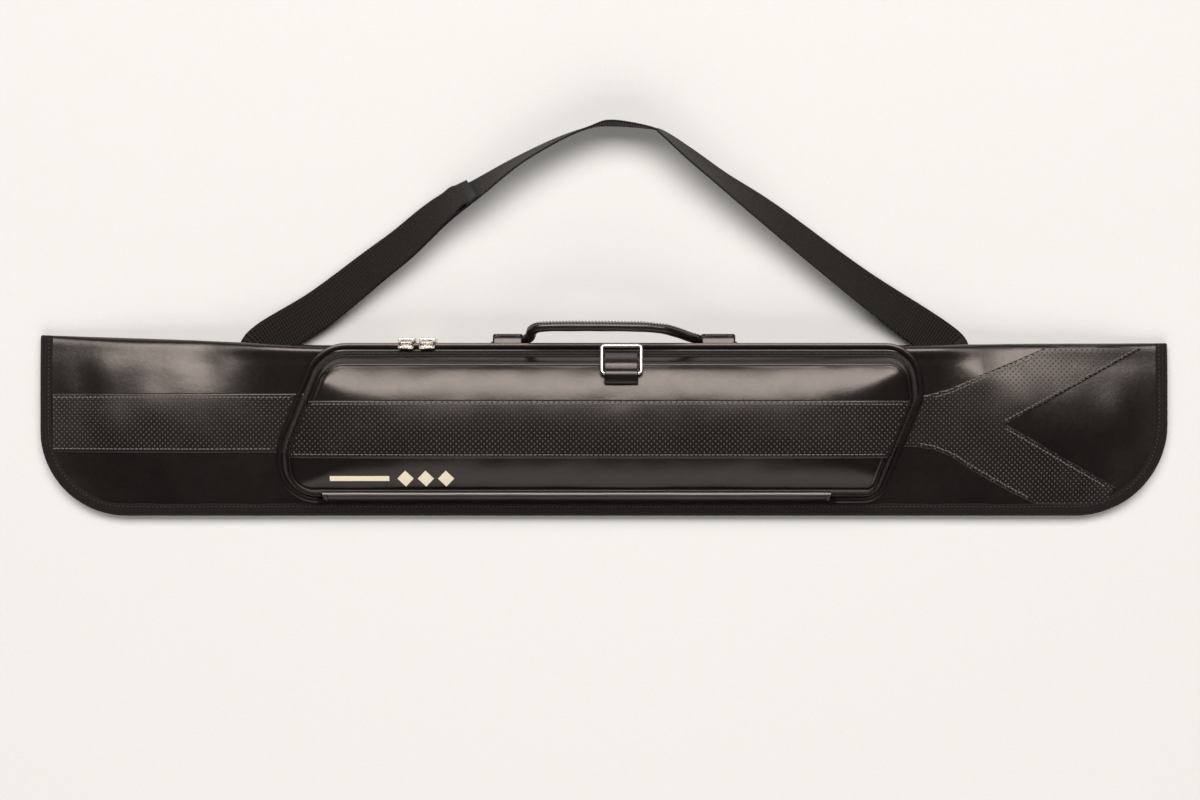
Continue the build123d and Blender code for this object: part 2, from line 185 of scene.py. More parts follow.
def stitchRow(path, outward, pitch=3.2, length=2.3, wide=0.42, proud=0.25, closed=False):
    # verts and faces of a row of thread stitches lying on a path; outward is the surface normal there
    path = resample(path, 0.4, closed)
    normals = np.asarray(outward(path), dtype=float)
    tangent = frames(path)
    across = np.cross(tangent, normals)
    across /= np.maximum(np.linalg.norm(across, axis=1, keepdims=True), 1e-9)
    half = max(1, int(length / 0.4 / 2))
    verts, faces = [], []
    lift = [-0.15, 0.75, 1.0, 0.75, -0.15]
    for mid in range(half + 1, len(path) - half - 1, max(1, int(pitch / 0.4))):
        start = len(verts)
        for k, high in zip(np.linspace(-half, half, 5), lift):
            i = int(mid + k)
            size = 0.55 if high < 0 else 1.0
            for a in range(6):
                turn = a * pi / 3
                verts.append(path[i] + across[i] * cos(turn) * wide * size
                             + normals[i] * (sin(turn) * wide * 0.8 * size + proud * high))
        for ring in range(4):
            for a in range(6):
                b = (a + 1) % 6
                faces.append((start + ring * 6 + a, start + ring * 6 + b, start + ring * 6 + 6 + b,
                              start + ring * 6 + 6 + a))
        faces.append(tuple(start + a for a in reversed(range(6))))
        faces.append(tuple(start + 24 + a for a in range(6)))
    return verts, faces


def stitchPiece(name, rows, material):
    verts, faces = [], []
    for rowVerts, rowFaces in rows:
        shift = len(verts)
        verts.extend(rowVerts)
        faces.extend([tuple(i + shift for i in f) for f in rowFaces])
    return meshPiece(name, verts, faces, material)


# materials


class Nodes:
    # short way to wire one material
    def __init__(self, name):
        self.material = bpy.data.materials.new(name)
        self.material.use_nodes = True
        self.tree = self.material.node_tree
        self.shader = self.tree.nodes["Principled BSDF"]

    def add(self, kind, **values):
        node = self.tree.nodes.new(kind)
        for key, value in values.items():
            setattr(node, key, value)
        return node

    def link(self, a, b):
        self.tree.links.new(a, b)

    def math(self, operation, a, b=None, c=None, clamp=False):
        node = self.add("ShaderNodeMath", operation=operation, use_clamp=clamp)
        for k, value in enumerate((a, b, c)):
            if value is None:
                continue
            if hasattr(value, "is_output"):
                self.link(value, node.inputs[k])
            else:
                node.inputs[k].default_value = value
        return node.outputs[0]

    def coords(self, kind="Object"):
        return self.add("ShaderNodeTexCoord").outputs[kind]

    def noise(self, vector, scale, detail=4.0, rough=0.55):
        node = self.add("ShaderNodeTexNoise")
        node.inputs["Scale"].default_value = scale
        node.inputs["Detail"].default_value = detail
        node.inputs["Roughness"].default_value = rough
        self.link(vector, node.inputs["Vector"])
        return node.outputs["Fac"]

    def ramp(self, value, low, high, colorLow, colorHigh):
        node = self.add("ShaderNodeMapRange")
        self.link(value, node.inputs["Value"])
        node.inputs["From Min"].default_value = low
        node.inputs["From Max"].default_value = high
        mix = self.add("ShaderNodeMix", data_type="RGBA")
        self.link(node.outputs[0], mix.inputs[0])
        mix.inputs[6].default_value = (*colorLow, 1)
        mix.inputs[7].default_value = (*colorHigh, 1)
        return mix.outputs[2]

    def bump(self, height, strength, distance, before=None):
        node = self.add("ShaderNodeBump")
        node.inputs["Strength"].default_value = strength
        node.inputs["Distance"].default_value = distance
        self.link(height, node.inputs["Height"])
        if before is not None:
            self.link(before, node.inputs["Normal"])
        return node.outputs["Normal"]


leather = dict(dark=(0.0034, 0.0028, 0.0027), light=(0.0068, 0.0056, 0.0053), rough=0.31, specular=0.80,
               specularTint=(1.0, 0.86, 0.79), pore=900.0, crease=260.0, dotPitch=0.0041)


def leatherMaterial(name, rough=None, dots=False, grain=1.0, tint=1.0):
    n = Nodes(name)
    place = n.coords("Object")
    pores = n.add("ShaderNodeTexVoronoi", feature="DISTANCE_TO_EDGE")
    pores.inputs["Scale"].default_value = leather["pore"]
    n.link(place, pores.inputs["Vector"])
    crease = n.noise(place, leather["crease"], 6.0, 0.62)
    broad = n.noise(place, 22.0, 3.0)
    dark = tuple(c * tint for c in leather["dark"])
    light = tuple(c * tint for c in leather["light"])
    n.link(n.ramp(broad, 0.35, 0.7, dark, light), n.shader.inputs["Base Color"])
    base = leather["rough"] if rough is None else rough
    varied = n.math("MULTIPLY_ADD", crease, 0.14, base - 0.07)
    normal = n.bump(crease, 0.16 * grain, 0.0006)
    normal = n.bump(pores.outputs["Distance"], 0.22 * grain, 0.0002, normal)
    if dots:
        # quincunx of raised dots: square cells with a second dot in each middle
        parts = n.add("ShaderNodeSeparateXYZ")
        n.link(place, parts.inputs[0])
        gaps = []
        for shift in (0.0, 0.5):
            squares = []
            for axis in (0, 1):
                cell = n.math("MULTIPLY_ADD", parts.outputs[axis], 1 / leather["dotPitch"], shift)
                inCell = n.math("SUBTRACT", n.math("FRACT", cell), 0.5)
                squares.append(n.math("MULTIPLY", inCell, inCell))
            gaps.append(n.math("SQRT", n.math("ADD", squares[0], squares[1])))
        nearest = n.math("MINIMUM", gaps[0], gaps[1])
        dot = n.add("ShaderNodeMapRange", interpolation_type="SMOOTHSTEP")
        n.link(nearest, dot.inputs["Value"])
        dot.inputs["From Min"].default_value = 0.10
        dot.inputs["From Max"].default_value = 0.20
        dot.inputs["To Min"].default_value = 1.0
        dot.inputs["To Max"].default_value = 0.0
        normal = n.bump(dot.outputs[0], 0.9, 0.0006, normal)
        varied = n.math("MULTIPLY_ADD", dot.outputs[0], 0.12, varied)
    n.link(varied, n.shader.inputs["Roughness"])
    n.link(normal, n.shader.inputs["Normal"])
    n.shader.inputs["Specular IOR Level"].default_value = leather["specular"]
    n.shader.inputs["Specular Tint"].default_value = (*leather["specularTint"], 1)
    return n.material


def wovenMaterial(name, color, ribAlong, ribAcross, rough=0.75, depth=0.0004, sheen=0.25, uvName="UV"):
    # ribbed weave: uv in metres, ribs every ribAlong along and ribAcross across
    n = Nodes(name)
    place = n.coords(uvName)
    parts = n.add("ShaderNodeSeparateXYZ")
    n.link(place, parts.inputs[0])
    along = n.math("SINE", n.math("MULTIPLY", parts.outputs[0], 2 * pi / ribAlong))
    across = n.math("SINE", n.math("MULTIPLY", parts.outputs[1], 2 * pi / ribAcross))
    crossed = n.math("MULTIPLY", along, across)
    weave = n.math("ADD", n.math("MULTIPLY", along, 0.6), n.math("MULTIPLY", crossed, 0.4))
    fuzz = n.noise(n.coords("Object"), 1400.0, 2.0)
    height = n.math("ADD", weave, fuzz)
    # base colour follows the weave's height: darker in the grooves and lighter on the rib tops, painted shade and
    # light over the rib bump, plus random fuzz tone
    low = tuple(c * 0.6 for c in color)
    high = tuple(min(1, c * 1.7) for c in color)
    n.link(n.ramp(height, -0.4, 1.6, low, high), n.shader.inputs["Base Color"])
    n.link(n.bump(height, 0.8, depth), n.shader.inputs["Normal"])
    n.shader.inputs["Roughness"].default_value = rough
    n.shader.inputs["Specular IOR Level"].default_value = 0.35
    n.shader.inputs["Specular Tint"].default_value = (*leather["specularTint"], 1)
    n.shader.inputs["Sheen Weight"].default_value = sheen
    n.shader.inputs["Sheen Roughness"].default_value = 0.4
    return n.material


def metalMaterial(name, color, rough):
    n = Nodes(name)
    place = n.coords("Object")
    smear = n.noise(place, 240.0, 5.0)
    scratch = n.noise(place, 2600.0, 2.0)
    low = tuple(c * 0.86 for c in color)
    n.link(n.ramp(smear, 0.3, 0.7, low, color), n.shader.inputs["Base Color"])
    n.link(n.math("MULTIPLY_ADD", smear, 0.18, rough - 0.06), n.shader.inputs["Roughness"])
    n.link(n.bump(scratch, 0.06, 0.0001), n.shader.inputs["Normal"])
    n.shader.inputs["Metallic"].default_value = 1.0
    return n.material


def threadMaterial(name, color):
    n = Nodes(name)
    twist = n.noise(n.coords("Object"), 3000.0, 2.0)
    n.link(n.ramp(twist, 0.3, 0.7, tuple(c * 0.6 for c in color), color), n.shader.inputs["Base Color"])
    n.link(n.bump(twist, 0.4, 0.0001), n.shader.inputs["Normal"])
    n.shader.inputs["Roughness"].default_value = 0.6
    n.shader.inputs["Sheen Weight"].default_value = 0.2
    return n.material


def plainMaterial(name, color, rough, scale=300.0, depth=0.0002, strength=0.3):
    n = Nodes(name)
    spots = n.noise(n.coords("Object"), scale, 5.0)
    n.link(n.ramp(spots, 0.3, 0.7, tuple(c * 0.95 for c in color), color), n.shader.inputs["Base Color"])
    n.link(n.bump(spots, strength, depth), n.shader.inputs["Normal"])
    n.link(n.math("MULTIPLY_ADD", spots, 0.15, rough - 0.07), n.shader.inputs["Roughness"])
    n.shader.inputs["Specular Tint"].default_value = (*leather["specularTint"], 1)
    return n.material


caseLeather = leatherMaterial("caseLeather")
dottedLeather = leatherMaterial("dottedLeather", rough=0.38, dots=True)
trimLeather = leatherMaterial("trimLeather", rough=0.40, grain=0.7, tint=0.7)
# hinge strip leather: base colour six times the case leather's, a painted reflection standing in for the light it
# catches from the lower side
hingeLeatherPaintedReflection = leatherMaterial("hingeLeatherPaintedReflection", rough=0.34, grain=0.4, tint=6.0)
# dot leather: base colour 6.5 times the case leather's, partly a painted glint standing in for the light the raised
# dots catch
dotLeatherPaintedGlint = leatherMaterial("dotLeatherPaintedGlint", rough=0.42, grain=0.3, tint=6.5)
# piping cord: pale base colour is a painted highlight, standing in for the bright line of shine along the piping
pipingPaintedHighlight = plainMaterial("pipingPaintedHighlight", (0.42, 0.385, 0.38), 0.32, 500.0, 0.0001, 0.15)
handleLeather = leatherMaterial("handleLeather", rough=0.30, grain=0.9, tint=1.3)
bindingTape = wovenMaterial("bindingTape", (0.0056, 0.0048, 0.0046), 0.0016, 0.0022, rough=0.75, sheen=0.08)
strapWeb = wovenMaterial("strapWeb", (0.0040, 0.0034, 0.0033), 0.0021, 0.0030, rough=0.66, depth=0.0006,
                         sheen=0.05)
zipTape = wovenMaterial("zipTape", (0.006, 0.0053, 0.0050), 0.0011, 0.0014, rough=0.8, sheen=0.1)
zipCoil = plainMaterial("zipCoil", (0.018, 0.017, 0.016), 0.36)
nickel = metalMaterial("nickelMetal", (0.84, 0.79, 0.73), 0.2)
blackMetal = metalMaterial("blackMetal", (0.03, 0.03, 0.03), 0.4)
blackThread = threadMaterial("blackThread", (0.035, 0.033, 0.031))
greyThread = threadMaterial("greyThread", (0.17, 0.16, 0.15))
emblemPrint = plainMaterial("emblemPrint", (0.86, 0.76, 0.58), 0.5, 500.0)
liningCloth = wovenMaterial("liningCloth", (0.03, 0.03, 0.033), 0.0012, 0.0012, rough=0.6, uvName="Object")
print("materials ready")

# shape of the folded body

body = dict(half=425.0, bottom=-65.0, cornerLeft=65.0, cornerRight=70.0, endThick=7.5, binding=9.0,
            hingeY=-50.0, hingeZ=11.0, seatAngle=8.35, columns=560, across=150)
seatCos, seatSin = cos(radians(body["seatAngle"])), sin(radians(body["seatAngle"]))
crestOf = softTable([(-440, 7.2), (-425, 7.5), (-405, 11), (-370, 18), (-320, 24), (-250, 23), (250, 23),
                     (320, 24), (370, 18), (405, 11), (425, 7.5), (440, 7.2)], 10)
spineOf = softTable([(-440, 71.5), (-425, 71), (-300, 66.5), (-225, 62.8), (225, 62.8), (300, 64), (440, 65)],
                    14)
liftOf = softTable([(-440, 0), (-365, 0), (-292, 11.5), (-230, 11.5), (-150, 0), (150, 0), (230, 11.5),
                    (292, 11.5), (365, 0), (440, 0)], 12)
seatShare = softTable([(-440, 0), (-300, 0), (-248, 1), (248, 1), (300, 0), (440, 0)], 7)
wander = slowNoise(3, 16, 150.0)
dimple = slowNoise(5, 18, 46.0)


def sectionLine(x):
    # the whole outline across the case at x, from the lower edge round the back and spine to the front
    s, up, extra = float(spineOf(x)), float(liftOf(x)), float(crestOf(x)) - body["endThick"]
    share, end = float(seatShare(x)), body["endThick"]
    lensY = [-70, -50, -30, 0, 22, s - 20, s - 4, s + 2]
    lensZ = [end - 0.4, end + 0.3 * extra, end + 0.6 * extra, end + 0.93 * extra, end + extra,
             end + 0.8 * extra, 0.8 * end + 0.62 * extra, 0.8 * end + 0.5 * extra]

    def top(y):
        flat = body["hingeZ"] + (y - body["hingeY"]) * seatSin / seatCos
        if y < -50:
            flat = end - 0.4 + (y + 70) / 20 * (body["hingeZ"] - end + 0.4)
        if y > s - 4:
            flat -= 0.4 * (y - s + 4)
        return share * flat + (1 - share) * float(np.interp(y, lensY, lensZ))

    backs = [(-68, 0.9), (-40, -0.5), (0, 0.04 * up - 0.5), (20, 0.5 * up - 0.5), (s - 22, 0.85 * up - 0.5),
             (s - 7, 0.85 * up + 1.1)]
    tops = [(y, top(y)) for y in (s - 2.6, s - 12, s - 26, 20, 0, -25, -50, -68)]
    points = np.array(backs + [(s, 0.5 * (backs[-1][1] + tops[0][1]))] + tops)
    count = len(points)
    line = []
    for i in range(count - 1):
        p = [points[max(0, min(count - 1, i + k))] for k in (-1, 0, 1, 2)]
        for t in np.linspace(0, 1, 14, endpoint=False):
            line.append(0.5 * ((2 * p[1]) + (p[2] - p[0]) * t + (2 * p[0] - 5 * p[1] + 4 * p[2] - p[3]) * t * t
                               + (3 * p[1] - p[0] - 3 * p[2] + p[3]) * t ** 3))
    line.append(points[-1])
    return np.array(line)


def lowEdge(x):
    # plan outline of the lower edge with its two big corners
    x = np.asarray(x, dtype=float)
    radius = np.where(x < 0, body["cornerLeft"], body["cornerRight"])
    into = np.maximum(0, np.abs(x) - (body["half"] - radius))
    return body["bottom"] + radius - np.sqrt(np.maximum(0, radius ** 2 - into ** 2))


stationX = np.linspace(-432, 432, 217)
heightY = np.linspace(-66, 74, 281)
topMap, backMap = [], []
for x in stationX:
    line = sectionLine(x)
    peak = int(np.argmax(line[:, 0]))
    back, front = line[:peak + 1], line[peak:][::-1]
    topMap.append(np.interp(heightY, front[:, 0], front[:, 1]))
    backMap.append(np.interp(heightY, back[:, 0], np.maximum(back[:, 1], 0.0)))
topMap, backMap = np.array(topMap), np.array(backMap)


def readMap(table, x, y):
    i, j = (np.clip((np.asarray(spot, dtype=float) - grid[0]) / (grid[1] - grid[0]), 0, len(grid) - 1.001)
            for spot, grid in ((x, stationX), (y, heightY)))
    a, b = i.astype(int), j.astype(int)
    u, v = i - a, j - b
    return ((1 - u) * (1 - v) * table[a, b] + u * (1 - v) * table[a + 1, b]
            + (1 - u) * v * table[a, b + 1] + u * v * table[a + 1, b + 1])


def softWave(x, y):
    # slight hollows and swells of the soft cover, fading out at the seat, the edges and the fold
    x, y = np.asarray(x, dtype=float), np.asarray(y, dtype=float)
    away = np.clip((np.abs(x) - 252) / 30, 0, 1) * np.clip((420 - np.abs(x)) / 25, 0, 1)
    inside = np.clip((y + 52) / 16, 0, 1) * np.clip((spineOf(x) - 3 - y) / 14, 0, 1)
    slump = -0.13 * (y - 44) * np.exp(-((x - 280) / 40) ** 2 - ((y - 44) / 12) ** 2)
    return (0.9 * wander(x, y) + 0.35 * dimple(x, y) + slump) * away * inside - 0.2


def caseTop(x, y):
    return readMap(topMap, x, y) + softWave(x, y)


def caseNormal(points):
    x, y = points[:, 0], points[:, 1]
    dx = (caseTop(x + 0.6, y) - caseTop(x - 0.6, y)) / 1.2
    dy = (caseTop(x, y + 0.6) - caseTop(x, y - 0.6)) / 1.2
    normal = np.stack([-dx, -dy, np.ones_like(dx)], axis=1)
    return normal / np.linalg.norm(normal, axis=1, keepdims=True)


def onCase(x, y, proud=0.0):
    points = np.stack([x, y, caseTop(x, y)], axis=1)
    return points + caseNormal(points) * proud


# outline of the lid

lid = dict(corners=[(-211, 60), (-242, -14), (-240, -51), (205, -51), (235, 25), (230, 60)],
           radii=[30, 50, 26, 15, 20, 24], draft=25.0, wallTop=18.0, crownV=54.8, crownHeight=32.0,
           crownRadius=83.0, hingeLeft=-210.0, hingeRight=169.0)
lidSlope = tan(radians(lid["draft"]))
lidEnds = softTable([(-262, 8), (-245, 13), (-228, 19.5), (-195, 27.5), (-150, 31.8), (-60, 33.4), (60, 33.4),
                     (145, 31.8), (188, 27.5), (222, 19.5), (240, 13), (257, 8)], 9)


def seatPoints(u, v, n):
    # from the lid's own seat frame (along, up the seat, away from it) to the case frame
    u, v, n = np.broadcast_arrays(np.asarray(u, float), np.asarray(v, float), np.asarray(n, float))
    return np.stack([u, body["hingeY"] + v * seatCos - n * seatSin, body["hingeZ"] + v * seatSin + n * seatCos],
                    axis=-1)


def roundOutline(corners, radii, step):
    # closed outline with a round at each corner, evenly stepped
    points = []
    count = len(corners)
    for i, radius in enumerate(radii):
        corner = np.array(corners[i], dtype=float)
        before = np.array(corners[i - 1], float) - corner
        after = np.array(corners[(i + 1) % count], float) - corner
        before, after = before / np.linalg.norm(before), after / np.linalg.norm(after)
        half = 0.5 * np.arccos(np.clip(before @ after, -1, 1))
        reach = radius / tan(half)
        middle = corner + (before + after) / np.linalg.norm(before + after) * radius / sin(half)
        a, b = corner + before * reach - middle, corner + after * reach - middle
        turn = np.arctan2(a[0] * b[1] - a[1] * b[0], a @ b)
        for t in np.linspace(0, turn, 24):
            points.append(middle + np.array([a[0] * cos(t) - a[1] * sin(t), a[0] * sin(t) + a[1] * cos(t)]))
    return resample(np.array(points), step, closed=True)


seatCorners = [(x, (y - body["hingeY"]) / seatCos) for x, y in lid["corners"]]
lidLine = roundOutline(seatCorners, lid["radii"], 1.5)
if np.sum(lidLine[:, 0] * np.roll(lidLine[:, 1], -1) - np.roll(lidLine[:, 0], -1) * lidLine[:, 1]) < 0:
    lidLine = lidLine[::-1]
lidTangent = np.roll(lidLine, -1, axis=0) - np.roll(lidLine, 1, axis=0)
lidTangent /= np.linalg.norm(lidTangent, axis=1, keepdims=True)
lidInward = np.stack([-lidTangent[:, 1], lidTangent[:, 0]], axis=1)
lidInward = sum(np.roll(lidInward, k, axis=0) for k in range(-3, 4)) / 7
lidRun = runLength(lidLine)


def lidRing(n, inset=None, proud=0.0):
    # one ring of the lid's wall at height n over the seat
    drawn = n * lidSlope if inset is None else inset
    flat = lidLine + lidInward * (drawn - proud)
    return seatPoints(flat[:, 0], flat[:, 1], n)


def crownHeight(u, v):
    away = np.minimum(np.abs(np.asarray(v, float) - lid["crownV"]), lid["crownRadius"] * 0.9)
    across = lid["crownHeight"] - lid["crownRadius"] + np.sqrt(lid["crownRadius"] ** 2 - away ** 2)
    ends = lidEnds(u)
    gap = np.sqrt((across - ends) ** 2 + 6.0)
    return 0.5 * (across + ends - gap)


lidWander = slowNoise(11, 16, 120.0)
lidDimple = slowNoise(13, 18, 40.0)
faceInset = lid["wallTop"] * lidSlope


def faceHeight(u, v):
    # crowned face of the lid, tucked down to its seam all round
    u, v = np.asarray(u, float), np.asarray(v, float)
    return crownHeight(u, v) + 0.5 * lidWander(u, v) + 0.18 * lidDimple(u, v) - 0.5


def lidFromPlan(x, y):
    # seat coordinates of the face point that stands over plan position x, y
    v = (np.asarray(y, float) - body["hingeY"]) / seatCos
    for _ in range(8):
        n = faceHeight(x, v)
        v = (y - body["hingeY"] + n * seatSin) / seatCos
    return v, faceHeight(x, v)


def lidNormal(u, v):
    du = (faceHeight(u + 0.6, v) - faceHeight(u - 0.6, v)) / 1.2
    dv = (faceHeight(u, v + 0.6) - faceHeight(u, v - 0.6)) / 1.2
    normal = np.stack([-du, -dv * seatCos - seatSin, -dv * seatSin + seatCos], axis=-1)
    return normal / np.linalg.norm(normal, axis=-1, keepdims=True)


def onLid(x, y, proud=0.0):
    v, n = lidFromPlan(x, y)
    return seatPoints(x, v, n) + lidNormal(x, v) * proud


def lidNormalAt(points):
    v, n = lidFromPlan(points[:, 0], points[:, 1])
    return lidNormal(points[:, 0], v)


def insideLoop(loop, x, y):
    # even-odd test of points against a closed loop
    flatX, flatY = np.asarray(x, float).ravel(), np.asarray(y, float).ravel()
    inside = np.zeros(len(flatX), dtype=bool)
    for (ax, ay), (bx, by) in zip(loop, np.roll(loop, -1, axis=0)):
        if ay != by:
            crossing = (ay > flatY) != (by > flatY)
            inside ^= crossing & (flatX < (bx - ax) * (flatY - ay) / (by - ay) + ax)
    return inside.reshape(np.shape(x))


def insideLid(x, y, shrink):
    # true inside the lid outline drawn in by shrink, tested on the seat
    return insideLoop(lidLine + lidInward * shrink, x, (y - body["hingeY"]) / seatCos)


def dotPiece(name, spots, outward):
    # low round dots embossed on a surface: spots on the surface, outward its normals there
    sides, radius = 8, 0.88
    side = np.cross(outward, [0, 1, 0])
    side /= np.linalg.norm(side, axis=1, keepdims=True)
    other = np.cross(outward, side)
    turn = np.linspace(0, 2 * pi, sides, endpoint=False)
    rings = []
    for share, high in ((1.0, -0.12), (0.74, 0.16), (0.36, 0.30)):
        ring = (side[:, None] * np.cos(turn)[None, :, None] + other[:, None] * np.sin(turn)[None, :, None])
        rings.append(spots[:, None] + ring * radius * share + outward[:, None] * high)
    top = (spots + outward * 0.34)[:, None]
    verts = np.concatenate(rings + [top], axis=1)
    size = 3 * sides + 1
    one = []
    for k in range(sides):
        j = (k + 1) % sides
        one += [(k, sides + k, sides + j, j), (sides + k, 2 * sides + k, 2 * sides + j, sides + j),
                (2 * sides + k, 3 * sides, 2 * sides + j)]
    faces = [tuple(i + size * d for i in f) for d in range(len(spots)) for f in one]
    # the dots' lighter colour is partly a painted glint
    made = meshPiece(name, verts.reshape(-1, 3), faces, dotLeatherPaintedGlint)
    return made


def dotGrid(lowX, highX, lowY, highY):
    # quincunx of places: a square net and a second one in its middles
    pitch = leather["dotPitch"] / mm
    nets = []
    for shift in (0.0, 0.5):
        xs = np.arange(lowX // pitch + shift, highX / pitch) * pitch
        ys = np.arange(lowY // pitch + shift, highY / pitch) * pitch
        nets.append(np.stack(np.meshgrid(xs, ys), axis=-1).reshape(-1, 2))
    return np.vstack(nets)


# cover of the body


def makeCover():
    half = body["half"] - 0.4
    bend = np.linspace(-1, 1, body["columns"])
    xs = half * np.sign(bend) * (1 - (1 - np.abs(bend)) ** 1.25)
    points = np.zeros((len(xs), body["across"], 3))
    for i, x in enumerate(xs):
        line = sectionLine(x)
        peak = int(np.argmax(line[:, 0]))
        low = float(lowEdge(x))
        front = line[peak:]
        front = front[front[:, 0] > low]
        front = np.vstack([front, [low, readMap(topMap, x, low)]])
        back = line[:peak]
        back = back[back[:, 0] > low]
        back = np.vstack([[low, max(0.0, float(readMap(backMap, x, low)))], back])
        whole = resample(np.vstack([back, front]), 1.0)
        spots = np.linspace(0, len(whole) - 1, body["across"])
        points[i, :, 0] = x
        points[i, :, 1] = np.interp(spots, np.arange(len(whole)), whole[:, 0])
        points[i, :, 2] = np.interp(spots, np.arange(len(whole)), whole[:, 1])
        turn = int(np.argmax(points[i, :, 1]))
        points[i, turn:, 2] += softWave(x, points[i, turn:, 1])
    points[:, :, 2] = np.maximum(points[:, :, 2], 0.0)
    middle = points[:-1, :-1] + 0.5 * (points[1:, 1:] - points[:-1, :-1])
    seatZ = body["hingeZ"] + (middle[:, :, 1] - body["hingeY"]) * seatSin / seatCos
    open_ = insideLid(middle[:, :, 0], middle[:, :, 1], 5.0) & (middle[:, :, 2] > seatZ - 4)
    keep = np.pad(~open_, ((0, 1), (0, 1)), constant_values=True)
    cover = gridPiece("caseCover", points, caseLeather, keep=keep, flip=False)
    settle(cover, "case_body", "case_leather", "back_panel", "front_panel")
    print("cover", len(cover.data.polygons))
    return cover


makeCover()

# woven binding round the open edge


def makeBinding():
    # path down the left end, along the bottom and up the right end
    half, bottom = body["half"], body["bottom"]
    left, right = body["cornerLeft"], body["cornerRight"]
    path = [(-half, 70.5), (-half, bottom + left)]
    quarter = np.linspace(0, pi / 2, 40)
    path += [(-half + left - left * cos(t), bottom + left - left * sin(t)) for t in quarter]
    path += [(half - right + right * sin(t), bottom + right - right * cos(t)) for t in quarter]
    path += [(half, bottom + right), (half, 64.5)]
    path = resample(np.array(path), 2.0)
    tangent = frames(path)
    inward = np.stack([-tangent[:, 1], tangent[:, 0]], axis=1)
    run = runLength(path)
    ripple = 0.25 * np.sin(run / 9.0) + 0.15 * np.sin(run / 3.7 + 1)
    profile = [(body["binding"], "t", -0.3), (body["binding"], "t", 0.75), (body["binding"] - 0.8, "t", 1.05)]
    profile += [(d, "t", 1.1) for d in np.linspace(body["binding"] - 2, 2.4, 6)]
    profile += [(1.1, "m", 0.97), (0.2, "m", 0.84), (-0.3, "m", 0.66), (-0.4, "m", 0.5), (-0.3, "m", 0.3),
                (0.1, "m", 0.12), (0.8, "m", 0.02), (2.4, "m", 0.0), (body["binding"], "m", 0.0)]
    rows, spots = [], []
    for inset, kind, value in profile:
        at = path + inward * (inset + (ripple[:, None] if inset > 4 else 0))
        roof = caseTop(path[:, 0] + inward[:, 0] * max(inset, 2.4), path[:, 1] + inward[:, 1] * max(inset, 2.4))
        z = roof + value if kind == "t" else (roof + 1.05) * value
        rows.append(np.stack([at[:, 0], at[:, 1], np.maximum(z, 0.02)], axis=1))
    wide = 0.0
    for k, row in enumerate(rows):
        wide += float(np.linalg.norm(row[40] - rows[k - 1][40])) if k else 0.0
        spots.append(np.stack([run * mm, np.full_like(run, wide * mm)], axis=1))
    binding = gridPiece("edgeBinding", np.array(rows), bindingTape, np.array(spots), flip=True)
    settle(binding, "case_body", "binding_tape", "edge_binding")
    inner = path + inward * (body["binding"] - 1.9)
    row = stitchRow(onCase(inner[:, 0], inner[:, 1], 1.1), caseNormal, pitch=3.4, length=2.2, wide=0.26)
    stitches = stitchPiece("bindingStitches", [row], blackThread)
    settle(stitches, "case_body", "binding_tape")
    print("binding", round(run[-1]))


makeBinding()

# dotted trims on the body

seamStitch = dict(pitch=3.4, length=2.6, wide=0.4)
trim = dict(proud=0.8, bandLow=-17.5, bandHigh=27.0, seam=3.0)
tailOutline = [(214, 24), (232, 24.5), (244, 26.5), (258, 30.5), (277, 39), (305, 50), (331, 61), (345, 63.5),
               (405, 60.5), (300, 4), (386, -44), (377, -56.5), (325, -56.5), (305, -47), (277, -31.5),
               (260, -20.5), (246, -15), (230, -13), (214, -13)]


def trimSheet(name, outline, spacing=1.8):
    # flat outline cut from a fine net, laid on the case and finished with a turned edge
    loop = np.array(outline, dtype=float)
    lowX, lowY = loop.min(axis=0)
    highX, highY = loop.max(axis=0)
    net = bmesh.new()
    corners = [net.verts.new((x * mm, y * mm, 0)) for x, y in loop]
    net.faces.new(corners)
    for axis, first, last in (((1, 0, 0), lowX, highX), ((0, 1, 0), lowY, highY)):
        for place in np.arange(first + spacing, last, spacing):
            parts = list(net.verts) + list(net.edges) + list(net.faces)
            bmesh.ops.bisect_plane(net, geom=parts, plane_co=tuple(a * place * mm for a in axis),
                                   plane_no=axis)
    flat = np.array([v.co[:] for v in net.verts]) / mm
    laid = onCase(flat[:, 0], flat[:, 1], trim["proud"])
    for vert, spot in zip(net.verts, laid):
        vert.co = Vector(spot * mm)
    border = [e for e in net.edges if len(e.link_faces) == 1]
    grown = bmesh.ops.extrude_edge_only(net, edges=border)
    for item in grown["geom"]:
        if isinstance(item, bmesh.types.BMVert):
            item.co.z -= 1.2 * mm
    bmesh.ops.recalc_face_normals(net, faces=net.faces)
    data = bpy.data.meshes.new(name)
    net.to_mesh(data)
    net.free()
    if sum(p.normal.z for p in data.polygons) < 0:
        data.flip_normals()
    data.materials.append(trimLeather)
    data.polygons.foreach_set("use_smooth", [True] * len(data.polygons))
    made = bpy.data.objects.new(name, data)
    bpy.context.scene.collection.objects.link(made)
    settle(made, "case_body", "dotted_leather")
    spots = dotGrid(lowX, highX, lowY, highY)
    clear = np.ones(len(spots), dtype=bool)
    for dx, dy in ((1.1, 0), (-1.1, 0), (0, 1.1), (0, -1.1)):
        clear &= insideLoop(loop, spots[:, 0] + dx, spots[:, 1] + dy)
    clear &= ~insideLid(spots[:, 0], spots[:, 1], -5.5)
    spots = onCase(spots[clear, 0], spots[clear, 1], trim["proud"])
    dots = dotPiece(name + "Dots", spots, caseNormal(spots))
    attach(dots, "case_body")
    return made


def seamLine(points, inset=0.0):
    # seam stitched near an edge line, drawn in to its left by inset
    line = resample(np.array(points, dtype=float), 1.5)
    tangent = frames(line)
    line = line + np.stack([-tangent[:, 1], tangent[:, 0]], axis=1) * inset
    return stitchRow(onCase(line[:, 0], line[:, 1], trim["proud"] + 0.2), caseNormal, **seamStitch)


